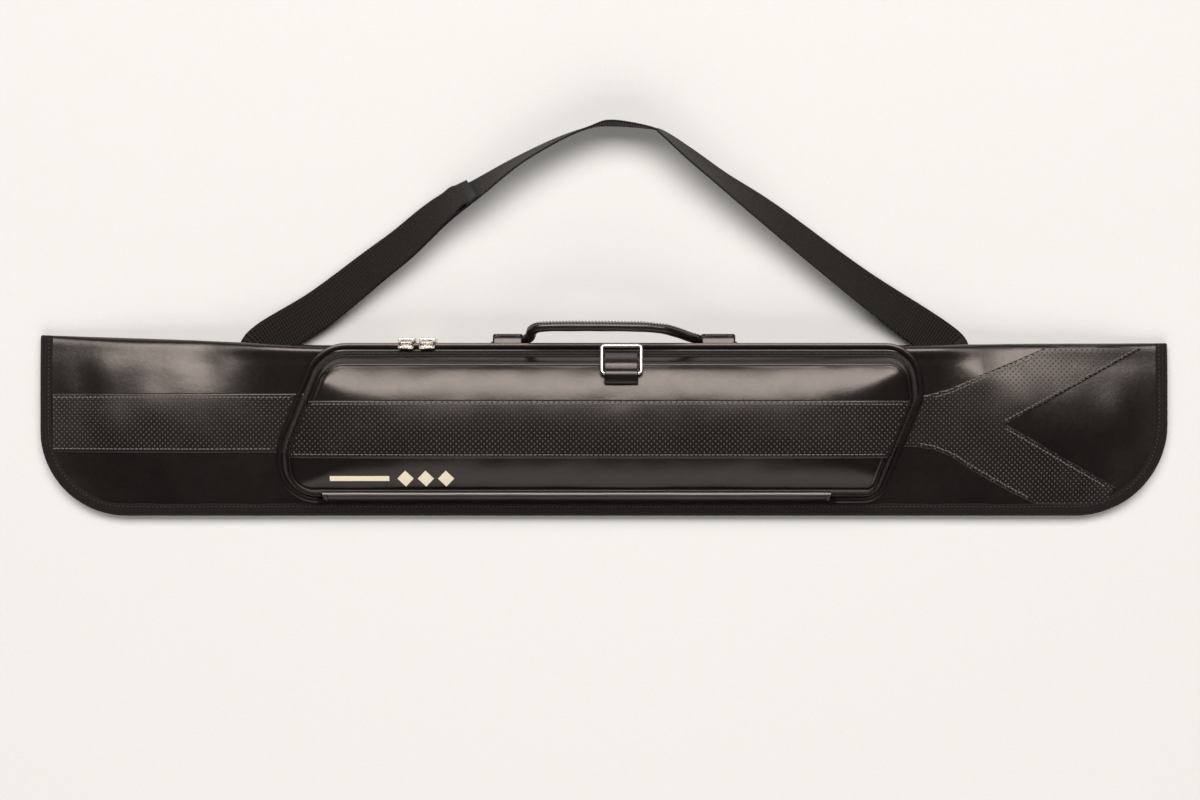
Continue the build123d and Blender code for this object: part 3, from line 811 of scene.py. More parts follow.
def makeTrims():
    low, high = trim["bandLow"], trim["bandHigh"]
    left = trimSheet("trimBandLeft", [(-416.5, low), (-236, low), (-222, high), (-416.5, high)])
    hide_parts("trim_band_left")
    tail = trimSheet("trimTailRight", tailOutline)
    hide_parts("trim_tail_right")
    rows = [seamLine(line, trim["seam"]) for line in (
        [(-415, low), (-249, low)],
        [(-234, high), (-415, high)],
        [(331, 60), (305, 50), (277, 39), (258, 30.5), (244, 26.5)],
        [(236, -13.5), (246, -15), (260, -20.5), (277, -31.5), (305, -47), (320, -55)],
        [(300, 4), (404, 59)],
        [(378, -40.2), (300, 4)])]
    stitches = stitchPiece("trimStitches", rows, greyThread)
    settle(stitches, "case_body", "dotted_leather")
    print("trims and seams")


makeTrims()

# zip: tapes on the body and the lid, a coil on each, heights above the seat

zipSize = dict(bodyTape=(0.1, 4.9), coilBody=5.45, coilLid=6.65, lidTape=(7.2, 10.0), pitch=1.6)
gapIndex = [i for i, (u, v) in enumerate(lidLine)
            if v > 6 or not lid["hingeLeft"] - 1 < u < lid["hingeRight"] + 1]
cut = next(i for i in range(len(gapIndex) - 1) if gapIndex[i + 1] - gapIndex[i] > 1)
openRun = np.array(gapIndex[cut + 1:] + gapIndex[:cut + 1])  # the U of the zip, from one strip end to the other
hingeRun = np.array([i for i in range(len(lidLine)) if i not in set(gapIndex)])


def wallBand(name, levels, material, run, thick=0.0):
    # band of the lid's wall over the given (height, proud) levels
    rows, spots = [], []
    for n, proud in levels:
        rows.append(lidRing(n, proud=proud)[run])
        spots.append(np.stack([lidRun[run] * mm, np.full(len(run), n * mm)], axis=1))
    return gridPiece(name, np.array(rows), material, np.array(spots), flip=True, thick=thick)


def coilMesh(name, n, proud, body_, record):
    # nylon coil: a ridged cord with one bulge for each turn of the spiral
    ring = lidRing(n, proud=proud)[openRun]
    path = resample(ring, 0.3)
    near = np.linspace(0, len(openRun) - 1, len(path)).astype(int)
    flat = lidInward[openRun][near]
    up = seatPoints(flat[:, 0] * -cos(radians(25)), flat[:, 1] * -cos(radians(25)), sin(radians(25)))
    up = up - seatPoints(0, 0, 0)
    along = np.arange(len(path)) * 0.3
    radius = 0.60 + 0.28 * np.cos(along * 2 * pi / zipSize["pitch"])
    coil = tubePiece(name, path, radius, zipCoil, up, sides=8, squashUp=1.1)
    settle(coil, body_, "zip_coil", record)
    return coil


def makeZip():
    low, high = zipSize["bodyTape"]
    rows, spots = [], []
    for n, proud in [(0.2, -9.5), (0.4, -8.6), (0.45, -2.0), (0.9, -0.6), (low + 2.1, 0.1), (high, 0.0),
                     (high + 0.2, -0.7)]:
        rows.append(lidRing(n, proud=proud))
        spots.append(np.stack([lidRun * mm, np.full(len(lidRun), (n - proud) * mm)], axis=1))
    tape = gridPiece("zipTapeBody", np.array(rows)[:, openRun], zipTape, np.array(spots)[:, openRun], flip=True)
    settle(tape, "case_body", "zip_tape", "zip_tape_body")
    coilMesh("zipCoilBody", zipSize["coilBody"], 0.15, "case_body", "zip_coil_body")
    coilMesh("zipCoilLid", zipSize["coilLid"], 0.15, "lid", "zip_coil_lid")
    low, high = zipSize["lidTape"]
    levels = [(low, -0.7), (low + 0.2, 0.0), (9.0, 0.15), (high + 0.3, -0.3)]
    upper = wallBand("zipTapeLid", levels, zipTape, openRun)
    settle(upper, "lid", "zip_tape", "zip_tape_lid")
    flangeRows = []
    for n, inset in ((0.3, -4.6), (0.9, -4.2), (1.0, -1.2), (0.5, -0.2)):
        flat = lidLine + lidInward * inset
        flangeRows.append(seatPoints(flat[:, 0], flat[:, 1], n)[openRun])
    spots = [np.stack([lidRun[openRun] * mm, np.full(len(openRun), k * mm)], axis=1) for k in (0, 1, 4, 5)]
    welt = gridPiece("zipWelt", np.array(flangeRows), caseLeather, np.array(spots), flip=True)
    settle(welt, "case_body", "case_leather")
    print("zip")


makeZip()

# lid: gusset, crowned face, trim, emblem


def makeLid():
    top = lid["wallTop"]
    # leather gusset bulging a little between the zip and the face seam
    levels = [(9.8, -0.3), (10.2, 0.1), (11.5, 0.3), (13.5, 0.4), (15.5, 0.35), (17.2, 0.1), (17.9, -0.3),
              (18.1, -1.2)]
    gusset = wallBand("lidGusset", levels, caseLeather, np.append(np.arange(len(lidLine)), 0))
    hem = wallBand("lidHem", [(0.8, -0.2), (1.2, 0.25), (3.0, 0.55), (6.0, 0.5), (8.6, 0.3), (10.2, 0.2)],
                   caseLeather, hingeRun)
    # crowned face: rings from the seam to the ridge
    rings, count = [], 46
    ridgeV = np.full(len(lidLine), lid["crownV"])
    ridgeU = 190 * np.tanh(lidLine[:, 0] * 0.93 / 190)
    edge = lidLine + lidInward * (faceInset - 0.4)
    for k in range(count + 1):
        t = (k / count) ** 0.9
        u = edge[:, 0] * (1 - t) + ridgeU * t
        v = edge[:, 1] * (1 - t) + ridgeV * t
        deep = np.hypot(u - edge[:, 0], v - edge[:, 1])
        tuck = np.exp(-deep / 2.2) * 0.9
        n = faceHeight(u, v)
        rise = np.minimum(1, deep / 5.0)
        n = (top - 0.9) * (1 - rise) ** 2 + n * (1 - (1 - rise) ** 2) - tuck * 0.6
        rings.append(seatPoints(u, v, n))
    face = gridPiece("lidFace", np.array(rings), caseLeather, closeCols=True, flip=True)
    for piece in (gusset, hem, face):
        settle(piece, "lid", "case_leather")
    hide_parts("lid_face")
    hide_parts("lid_gusset")
    # seam piping between gusset and face
    seam = lidRing(top, proud=0.1)
    seamUp = seatPoints(0, 0, 1) - seatPoints(0, 0, 0)
    cord = tubePiece("lidSeam", seam, 0.5, trimLeather, seamUp, sides=8, closed=True)
    settle(cord, "lid", "piping_leather")
    print("lid")


makeLid()


def lidSheet(name, x0, x1, y0, y1, proud, material, spacing=2.0):
    # a patch laid on the lid's face, its ends following the rounded ends of the lid
    ys = np.linspace(y0, y1, int((y1 - y0) / spacing) + 1)
    points = []
    for y in ys:
        xs = np.linspace(x0(y), x1(y), 240)
        points.append(onLid(xs, np.full_like(xs, y), proud))
    points = np.array(points)
    # turned edges along both long sides
    low, high = points[:1].copy(), points[-1:].copy()
    low[:, :, 2] -= 1.0
    high[:, :, 2] -= 1.0
    return gridPiece(name, np.vstack([low, points, high]), material)


lidTrim = dict(low=-21.0, high=22.0, seam=3.0)


def lidEndX(side):
    # where the lid's face seam crosses height y, on the left or right
    ring = lidRing(lid["wallTop"], inset=faceInset - 0.5)
    part = ring[ring[:, 0] < -150] if side < 0 else ring[ring[:, 0] > 150]
    order = np.argsort(part[:, 1])
    return lambda y: float(np.interp(y, part[order, 1], part[order, 0]))


def makeLidTrim():
    left, right = lidEndX(-1), lidEndX(1)
    band = lidSheet("lidTrimBand", left, right, lidTrim["low"], lidTrim["high"], 0.75, trimLeather)
    spots = dotGrid(-250, 250, lidTrim["low"], lidTrim["high"])
    lowX, highX = np.array([left(y) for y in spots[:, 1]]), np.array([right(y) for y in spots[:, 1]])
    clear = (spots[:, 0] > lowX + 1) & (spots[:, 0] < highX - 1)
    clear &= (spots[:, 1] > lidTrim["low"] + 1.0) & (spots[:, 1] < lidTrim["high"] - 1.0)
    spots = onLid(spots[clear, 0], spots[clear, 1], 0.75)
    dots = dotPiece("lidTrimDots", spots, lidNormalAt(spots))
    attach(dots, "lid")
    settle(band, "lid", "dotted_leather", "lid_trim_band")
    rows = []
    for y in (lidTrim["low"] + lidTrim["seam"], lidTrim["high"] - lidTrim["seam"]):
        xs = np.arange(left(y) + 3, right(y) - 3, 1.5)
        rows.append(stitchRow(onLid(xs, np.full_like(xs, y), 0.95), lidNormalAt, **seamStitch))
    stitches = stitchPiece("lidStitches", rows, greyThread)
    settle(stitches, "lid", "dotted_leather")
    # band carried down over the gusset at both ends
    for side, tag in ((-1, "Left"), (1, "Right")):
        heights = lidRing(10.0)[:, 1]
        level = [i for i, u in enumerate(lidLine[:, 0])
                 if u * side > 150 and lidTrim["low"] < heights[i] < lidTrim["high"]]
        end = wallBand("lidTrimEnd" + tag, [(10.3, 0.9), (11.5, 1.35), (13.5, 1.55), (15.5, 1.4), (17.3, 1.0),
                                            (18.6, 0.5)], dottedLeather, np.array(level))
        settle(end, "lid", "dotted_leather")
    print("lid trim")


makeLidTrim()

emblem = dict(y=-36.0, bar=(-203.0, -159.0, 3.4), diamonds=(-147.0, -132.0, -117.0), size=8.4, proud=0.55)


def makeEmblem():
    # plain bar and three lozenges
    verts, faces = [], []

    def plate(loop):
        loop = np.array(loop, dtype=float)
        start = len(verts)
        verts.extend(onLid(loop[:, 0], loop[:, 1], -0.2))
        verts.extend(onLid(loop[:, 0], loop[:, 1], emblem["proud"]))
        count = len(loop)
        middle = loop.mean(axis=0)
        verts.append(onLid(middle[:1], middle[1:], emblem["proud"] + 0.05)[0])
        for k in range(count):
            j = (k + 1) % count
            faces.append((start + k, start + j, start + count + j, start + count + k))
            faces.append((start + count + k, start + count + j, start + 2 * count))

    x0, x1, tall = emblem["bar"]
    for k in range(11):
        a = x0 + (x1 - x0) * k / 11
        b = x0 + (x1 - x0) * (k + 1) / 11
        plate([(a, emblem["y"] - tall / 2), (b, emblem["y"] - tall / 2), (b, emblem["y"] + tall / 2),
               (a, emblem["y"] + tall / 2)])
    r = emblem["size"] / sqrt(2)
    for x in emblem["diamonds"]:
        y = emblem["y"]
        plate([(x - r, y), (x - r / 2, y - r / 2), (x, y - r), (x + r / 2, y - r / 2), (x + r, y),
               (x + r / 2, y + r / 2), (x, y + r), (x - r / 2, y + r / 2)])
    made = meshPiece("emblemPrint", verts, faces, emblemPrint, smooth=False)
    settle(made, "lid", "emblem_print", "emblem")


makeEmblem()

# hinge strip, piping, end tabs


# section of the strip as (up the seat, away from it), the place in it of the cord (painted pale as a highlight), and
# the end tabs
hinge = dict(strip=[(-3.4, -0.2), (-3.2, 0.7), (-2.6, 1.9), (-1.8, 3.2), (-0.9, 4.4), (0.2, 5.6), (0.9, 6.8),
                    (1.3, 8.2), (2.2, 9.6), (3.2, 11.2), (3.7, 11.9), (4.1, 11.6)],
             cordAt=(4.7, 15.2), cordRadius=0.85, tab=3.6)


def bendWithLid(piece):
    # bakes the piece's placement into its mesh; the seat points at the strip's foot and top are worked out but not
    # used
    tuple(seatPoints(0, -3.0, 1.5) * mm)
    tuple(seatPoints(0, 1.6, 7) * mm)
    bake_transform(piece)


def makeHinge():
    us = np.linspace(lid["hingeLeft"], lid["hingeRight"], 160)
    sag = 0.25 * np.sin(us / 17.0) + 0.15 * np.sin(us / 6.1)
    # soft strip from the body up to the lid's lower wall; its lightened leather is a painted reflection of the light
    # from the lower side
    rows = [seatPoints(us, v + 0.2 * sag, n + 0.4) for v, n in hinge["strip"]]
    strip = gridPiece("hingeStrip", np.array(rows), hingeLeatherPaintedReflection, flip=True)
    bendWithLid(strip)
    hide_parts("hinge_strip")
    # short leather tab over each end of the strip, with a line of stitches
    for x0, tag in ((lid["hingeLeft"] - 0.5, "Left"), (lid["hingeRight"] + 0.5 - hinge["tab"], "Right")):
        across = np.linspace(x0, x0 + hinge["tab"], 6)
        rows = [seatPoints(across, v - 0.35, n + 0.75) for v, n in hinge["strip"][:-2]]
        tab = gridPiece("hingeTab" + tag, np.array(rows), trimLeather, thick=0.5, flip=True)
        line = np.array([row[3] for row in rows])
        seam = stitchPiece("hingeTabStitches" + tag, [stitchRow(line, lambda q: np.broadcast_to(
            (0, -0.6, 0.8), q.shape), pitch=2.4, length=1.6, wide=0.28, proud=0.3)], greyThread)
        bendWithLid(tab)
        bendWithLid(seam)
    # thin cord where the strip meets the lid's wall; its pale colour is a painted highlight standing in for the shine
    # along it
    path = seatPoints(us, hinge["cordAt"][0] + 0.2 * sag, hinge["cordAt"][1])
    piping = tubePiece("hingePiping", path, hinge["cordRadius"], pipingPaintedHighlight,
                       (0, sin(radians(14)), cos(radians(14))), sides=14)
    settle(piping, "lid", "piping_leather", "hinge_piping")


makeHinge()

# lining and sleeves, seen when the lid is open

inside = dict(floor=4.6, mouth=150.0, sleeveEnd=236.0, channels=(-34.0, -6.0, 22.0, 48.0), rise=4.2)


def makeLining():
    # case lining: from the opening's edge down to a soft floor
    crease = slowNoise(21, 14, 55.0)
    rows = []
    for inset, drop in ((7.6, 0.2), (8.6, -0.6), (9.4, -2.0)):
        flat = lidLine + lidInward * inset
        rows.append(seatPoints(flat[:, 0], flat[:, 1], drop))
    edge = lidLine + lidInward * 10.5
    plan = seatPoints(edge[:, 0], edge[:, 1], -3.0)
    heart = np.stack([np.clip(edge[:, 0] * 0.95, -205, 200), np.full(len(edge), 0.0)], axis=1)
    for t in np.linspace(0, 1, 26):
        x = plan[:, 0] * (1 - t) + heart[:, 0] * t
        y = plan[:, 1] * (1 - t) + heart[:, 1] * t
        deep = np.hypot(x - plan[:, 0], y - plan[:, 1])
        base = readMap(backMap, x, y) + inside["floor"] + 0.35 * crease(x, y)
        z = base + (plan[:, 2] - base) * np.exp(-deep / 3.0)
        rows.append(np.stack([x, y, z], axis=1))
    lining = gridPiece("caseLining", np.array(rows), liningCloth, closeCols=True, flip=True)
    settle(lining, "case_body", "lining_cloth", "foam_padding")
    # lid lining with a pocket mouth
    rows = []
    edge = lidLine + lidInward * (11.0 * lidSlope + 0.6)
    heart = np.stack([np.clip(edge[:, 0] * 0.9, -180, 176), np.full(len(edge), lid["crownV"])], axis=1)
    for t in np.linspace(0, 1, 30):
        u = edge[:, 0] * (1 - t) + heart[:, 0] * t
        v = edge[:, 1] * (1 - t) + heart[:, 1] * t
        deep = np.hypot(u - edge[:, 0], v - edge[:, 1])
        rows.append(seatPoints(u, v, 10.6 + 1.6 * np.minimum(1, deep / 12) + 0.3 * crease(u, v)))
    cloth = gridPiece("lidLining", np.array(rows), liningCloth, closeCols=True)
    settle(cloth, "lid", "lining_cloth", "lid_lining", "lid_foam")
    mouth = seatPoints(np.linspace(-150, 150, 90), 92.0 + 0.6 * np.sin(np.linspace(0, 9, 90)), 11.4)
    hem = tubePiece("pocketHem", mouth, 1.3, bindingTape, (0, 0, 1), sides=8, squashUp=0.6)
    settle(hem, "lid", "binding_tape")
    for side, tag, node in ((-1, "Left", "cue_sleeve_left"), (1, "Right", "cue_sleeve_right")):
        xs = np.linspace(inside["mouth"], inside["sleeveEnd"] - (6 if side > 0 else 0), 60) * side
        ys = np.linspace(inside["channels"][0], inside["channels"][-1], 90)
        grid = np.zeros((len(ys), len(xs), 3))
        for j, y in enumerate(ys):
            lane = np.searchsorted(inside["channels"], y, side="right") - 1
            lane = min(max(lane, 0), len(inside["channels"]) - 2)
            a, b = inside["channels"][lane], inside["channels"][lane + 1]
            swell = max(0.0, sin(pi * (y - a) / (b - a))) ** 0.6
            roof = body["hingeZ"] + (y - body["hingeY"]) * seatSin / seatCos - 3.4
            base = readMap(backMap, xs, np.full_like(xs, y)) + inside["floor"] + 0.5
            z = np.minimum(base + inside["rise"] * swell + 0.3 * crease(xs, np.full_like(xs, y)), roof)
            grid[j] = np.stack([xs, np.full_like(xs, y), np.maximum(z, base)], axis=1)
        sleeve = gridPiece("cueSleeve" + tag, grid, liningCloth, thick=0.9, flip=side < 0)
        settle(sleeve, "case_body", "lining_cloth", node)
        mouth = grid[:, 0] + np.array([0, 0, 0.1])
        hem = tubePiece("sleeveHem" + tag, mouth, 1.0, bindingTape, (0, 0, 1), sides=8)
        settle(hem, "case_body", "binding_tape")
    print("lining")


makeLining()

# shoulder strap

strap = dict(width=30.0, thick=1.6, first=0.4, doubled=6.6, ribPitch=2.1, ribDepth=0.24)
arch = [(-262, 47, 0), (-261.8, 57, 0), (-252.6, 67.5, 4), (-214, 91, 12), (-172, 123, 26), (-151, 139, 32),
        (-123, 163, 43), (-95, 181, 58), (-65, 201, 72), (-34, 217.5, 79), (-10.5, 226.5, 84), (6, 229.5, 90),
        (35, 226, 84), (45, 221.5, 77), (65, 206, 68), (89.5, 187, 62), (125, 161, 48), (193, 108.5, 32),
        (252.6, 67.5, 6), (261.8, 57, 0), (262, 47, 0)]


def archFrames(first, last, step=1.2):
    # centre, width direction and face normal of the webbing, evenly stepped along the arch
    table = np.array(arch, dtype=float)
    spots = []
    for place in np.arange(first, last + 1e-6, 0.02):
        i = min(int(place), len(table) - 2)
        t = place - i
        p = [table[max(0, min(len(table) - 1, i + k))] for k in (-1, 0, 1, 2)]
        spots.append(0.5 * (p[0] * (-t ** 3 + 2 * t ** 2 - t) + p[1] * (3 * t ** 3 - 5 * t ** 2 + 2)
                            + p[2] * (-3 * t ** 3 + 4 * t ** 2 + t) + p[3] * (t ** 3 - t ** 2)))
    spots = np.array(spots)
    places = np.arange(first, last + 1e-6, 0.02)
    run = np.concatenate([[0], np.cumsum(np.hypot(*np.diff(spots[:, :2], axis=0).T))])
    even = np.arange(0, run[-1], step)
    line = np.stack([np.interp(even, run, spots[:, k]) for k in range(3)], axis=1)
    place = np.interp(even, run, places)
    tangent = frames(line[:, :2])
    out = np.stack([-tangent[:, 1], tangent[:, 0]], axis=1)
    turn = np.radians(line[:, 2])
    ends = np.maximum(0, 1 - np.minimum(place, len(table) - 1 - place) / 3.0)
    z = 0.5 * strap["width"] * np.sin(turn) + 0.5 * strap["thick"] * np.cos(turn) + 0.15 + 3.1 * ends
    centre = np.stack([line[:, 0], line[:, 1], z], axis=1)
    across = np.stack([-out[:, 0] * np.cos(turn), -out[:, 1] * np.cos(turn), np.sin(turn)], axis=1)
    normal = np.stack([out[:, 0] * np.sin(turn), out[:, 1] * np.sin(turn), np.cos(turn)], axis=1)
    return centre, across, normal, even


def webbingPiece(name, first, last, lift, material, bulge=None, width=None):
    # ribbed webbing with rounded edges, slightly cupped, ribs cut into its surface
    centre, across, normal, run = archFrames(first, last, 0.7)
    half = 0.5 * (width or strap["width"])
    thick = strap["thick"] / 2
    rib = strap["ribDepth"] * np.cos(run * 2 * pi / strap["ribPitch"])
    grow = np.zeros_like(run) if bulge is None else bulge(run)
    loop = [(-half, 0), (-half + 0.25, 0.62), (-half + 0.9, 0.95)]
    loop += [(w, 1.0) for w in np.linspace(-half + 2, half - 2, 12)]
    loop += [(half - 0.9, 0.95), (half - 0.25, 0.62), (half, 0)]
    loop += [(w, -h) for w, h in reversed(loop[1:-1])]
    rows, spots = [], []
    for w, h in loop:
        cup = 0.35 * (w / half) ** 2
        edge = 1 + 0.004 * np.sin(run / 23.0)
        high = lift + h * thick + np.sign(h) * rib * (abs(h) > 0.9) * 0.6 + cup + grow
        rows.append(centre + across * (w * edge)[:, None] + normal * high[:, None])
        spots.append(np.stack([run * mm, np.full_like(run, (w + half) * mm)], axis=1))
    points = np.array(rows).transpose(1, 0, 2)
    points[:, :, 2] = np.maximum(points[:, :, 2], 0.05)
    spots = np.array(spots).transpose(1, 0, 2)
    made = gridPiece(name, points, material, spots, closeCols=True, flip=True, caps=True)
    settle(made, "strap", "strap_web")
    return made, run[-1]


def makeStrap():
    web, length = webbingPiece("strapWebbing", strap["first"], len(arch) - 1.4, 0.0, strapWeb)
    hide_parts("strap_webbing")
    back, folded = webbingPiece("strapReturn", strap["first"], strap["doubled"] + 0.12, 1.7, strapWeb,
                                bulge=lambda run: 1.9 * np.exp(-((run - run[-1] + 7) / 5.5) ** 2))
    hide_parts("strap_return")
    glide, _ = webbingPiece("strapAdjuster", strap["doubled"] - 0.02, strap["doubled"] + 0.3, 2.0, blackMetal,
                            width=strap["width"] + 3)
    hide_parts("strap_adjuster")
    print("strap", round(length), round(folded))


makeStrap()

# carry handle

handle = dict(axisY=66.8, axisZ=22.0, rise=70.0, radius=3.95, tabLeft=(-83.0, -60.5), tabRight=(72.5, 98.0),
              tab=[(60.2, 25.4), (61.0, 27.0), (64.0, 27.4), (68.0, 26.4), (71.0, 24.4), (71.6, 22.2),
                   (70.8, 18.8), (68.4, 13.0), (66.4, 8.4), (65.0, 6.2), (63.6, 7.4), (63.0, 14.0), (61.4, 21.0)],
              base=[(59.0, 24.6), (60.0, 26.0), (63.0, 25.2), (65.6, 21.5), (66.4, 15.0), (66.0, 8.0),
                    (64.6, 4.6), (62.6, 5.0), (62.0, 13.0), (61.0, 20.0)],
              face=((62.4, 27.2), (70.2, 24.9)),
              path=[(-64, 0.2), (-58.5, 0.6), (-55.2, 4), (-54.2, 11), (-53.4, 19), (-49, 25), (-40, 26.6),
                    (-18, 26.9), (8, 26.6), (30, 25.6), (45, 21.5), (56, 13.0), (64, 5.0), (70, 1.2),
                    (77, 0.2)])


def smoothLine(points, blur=3.0, step=0.6):
    line = resample(points, step)
    reach = int(3 * blur / step)
    bell = np.exp(-0.5 * (np.arange(-reach, reach + 1) * step / blur) ** 2)
    bell /= bell.sum()
    lead = line[0] + (line[0] - line[1]) * np.arange(reach, 0, -1)[:, None]
    tail = line[-1] + (line[-1] - line[-2]) * np.arange(1, reach + 1)[:, None]
    full = np.vstack([lead, line, tail])
    return np.stack([np.convolve(full[:, k], bell, mode="valid") for k in range(line.shape[1])], axis=1)


def tabBlock(name, x0, x1, section, material):
    # padded leather block of constant section along x, drawn in at its two ends
    loop = np.array(section, dtype=float)
    middle = loop.mean(axis=0)
    xs = np.concatenate([[x0, x0 + 0.25, x0 + 0.8], np.linspace(x0 + 1.8, x1 - 1.8, 24),
                         [x1 - 0.8, x1 - 0.25, x1]])
    share = np.concatenate([[0.80, 0.91, 0.975], np.ones(24), [0.975, 0.91, 0.80]])
    rows = []
    for x, size in zip(xs, share):
        at = middle + (loop - middle) * size
        rows.append(np.stack([np.full(len(loop), x), at[:, 0], at[:, 1]], axis=1))
    return gridPiece(name, np.array(rows), material, closeCols=True, caps=True)


def makeHandle():
    tilt = radians(handle["rise"])
    out = np.array([0, cos(tilt), sin(tilt)])
    flat = smoothLine(np.array(handle["path"], dtype=float), 2.2)
    path = np.stack([flat[:, 0], handle["axisY"] + flat[:, 1] * out[1], handle["axisZ"] + flat[:, 1] * out[2]],
                    axis=1)
    run = runLength(path)
    total = run[-1]
    pinch = 1 - 0.28 * np.exp(-run / 5) - 0.28 * np.exp(-(total - run) / 6)
    radius = handle["radius"] * pinch * (1 + 0.02 * np.sin(run / 4.0))
    normal = np.cross([1, 0, 0], out)
    grip = tubePiece("handleGrip", path, radius, handleLeather, normal, sides=28, squashUp=0.86)
    # seam welt between the two stitch rows
    tangent = frames(path)
    away = np.cross(np.broadcast_to(normal, path.shape), tangent)
    away /= np.linalg.norm(away, axis=1, keepdims=True)
    if away[len(away) // 2] @ out < 0:
        away = -away
    rows = []
    for lean in (0.15, 0.95):
        direction = away * cos(lean) - normal * sin(lean)
        spots = path + direction * (radius * 0.97)[:, None]
        rows.append(stitchRow(spots[8:-10], lambda p: np.broadcast_to(
            out * cos(lean) - normal * sin(lean), p.shape), pitch=2.8, length=1.9, wide=0.36, proud=0.3))
    seams = stitchPiece("handleStitches", rows, greyThread)
    direction = away * cos(0.55) - normal * sin(0.55)
    ridge = (path + direction * (radius * 0.88)[:, None])[4:-6]
    welt = tubePiece("handleWelt", ridge, 0.75, handleLeather, normal, sides=8)
    for piece in (grip, seams, welt):
        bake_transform(piece)
    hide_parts("handle_grip", "handle_core")
    loop = smoothLine(np.vstack([handle["tab"], handle["tab"][:2]]), 0.7, 0.35)[3:-3]
    base = smoothLine(np.vstack([handle["base"], handle["base"][:2]]), 0.5, 0.35)[3:-3]
    for (x0, x1), tag in ((handle["tabLeft"], "Left"), (handle["tabRight"], "Right")):
        upper = tabBlock("handleTab" + tag, x0, x1, loop, handleLeather)
        lower = tabBlock("handleBase" + tag, x0 - 1.6, x1 + 1.6, base, caseLeather)
        # a stitched box with its cross on the sloping top of the tab
        (y1, z1), (y2, z2) = handle["face"]
        lean = np.array([0, z1 - z2, y2 - y1]) / np.hypot(z1 - z2, y2 - y1)
        near, far = x0 + 2, x1 - 2
        corners = [np.array(c) for c in ((near, y1, z1), (far, y1, z1), (far, y2, z2), (near, y2, z2))]
        rows = []
        for a, b in ((0, 1), (1, 2), (2, 3), (3, 0), (0, 2), (1, 3)):
            line = np.linspace(corners[a], corners[b], 30)
            rows.append(stitchRow(line, lambda q: np.broadcast_to(lean, q.shape), pitch=2.2, length=1.6,
                                  wide=0.3, proud=0.3))
        seams = stitchPiece("tabStitches" + tag, rows, greyThread)
        for piece in (lower, upper, seams):
            settle(piece, "case_body", "case_leather")
        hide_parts("handle_tab_" + tag.lower())
    print("handle")


makeHandle()

# ring chape

chape = dict(x0=0.7, x1=24.6, thick=1.3,
             line=[(56.3, 35.6), (54.6, 38.6), (52.9, 42.0), (51.0, 44.6), (48.6, 46.2), (45.0, 46.7), (41.0, 46.7),
                   (36.5, 47.0), (34.2, 47.6), (33.7, 49.0), (34.8, 50.6), (37.6, 51.9), (40.6, 52.7), (43.0, 52.2),
                   (44.6, 50.6), (44.9, 48.8), (44.2, 47.6)])


def makeChape():
    line = smoothLine(np.array(chape["line"], dtype=float), 0.8, 0.4)
    xs = np.concatenate([[chape["x0"]], np.linspace(chape["x0"] + 0.35, chape["x1"] - 0.35, 20), [chape["x1"]]])
    rows = []
    for k, x in enumerate(xs):
        edge = 0.25 if k in (0, len(xs) - 1) else 0.0
        rows.append(np.stack([np.full(len(line), x), line[:, 0], line[:, 1] - edge], axis=1))
    leatherStrip = gridPiece("ringChape", np.array(rows), caseLeather, thick=chape["thick"])
    leatherStrip.modifiers["thickness"].offset = 0
    settle(leatherStrip, "lid", "case_leather", "ring_chape")
    print("chape")


makeChape()

# zip sliders and pulls

slider = dict(places=((-147.2, "left"), (-131.6, "right")), y=62.3, z=31.2, eye=1.75, lean=25, pullHalf=5.2)


def bevelled(name, blocks, material, bevel=0.35, segments=3):
    # several rounded blocks in one piece: each block is (centre, size, lean about X in degrees)
    verts, faces = [], []
    for centre, size, lean in blocks:
        start = len(verts)
        c, s = cos(radians(lean)), sin(radians(lean))
        for dz in (-0.5, 0.5):
            for dx, dy in ((-0.5, -0.5), (0.5, -0.5), (0.5, 0.5), (-0.5, 0.5)):
                x, y, z = dx * size[0], dy * size[1], dz * size[2]
                verts.append((centre[0] + x, centre[1] + y * c - z * s, centre[2] + y * s + z * c))
        faces += [tuple(start + i for i in f) for f in ((3, 2, 1, 0), (4, 5, 6, 7), (0, 1, 5, 4), (1, 2, 6, 5),
                                                        (2, 3, 7, 6), (3, 0, 4, 7))]
    made = meshPiece(name, verts, faces, material, smooth=True)
    edge = made.modifiers.new("rounded", "BEVEL")
    edge.width = bevel * mm
    edge.segments = segments
    edge.harden_normals = False
    return made


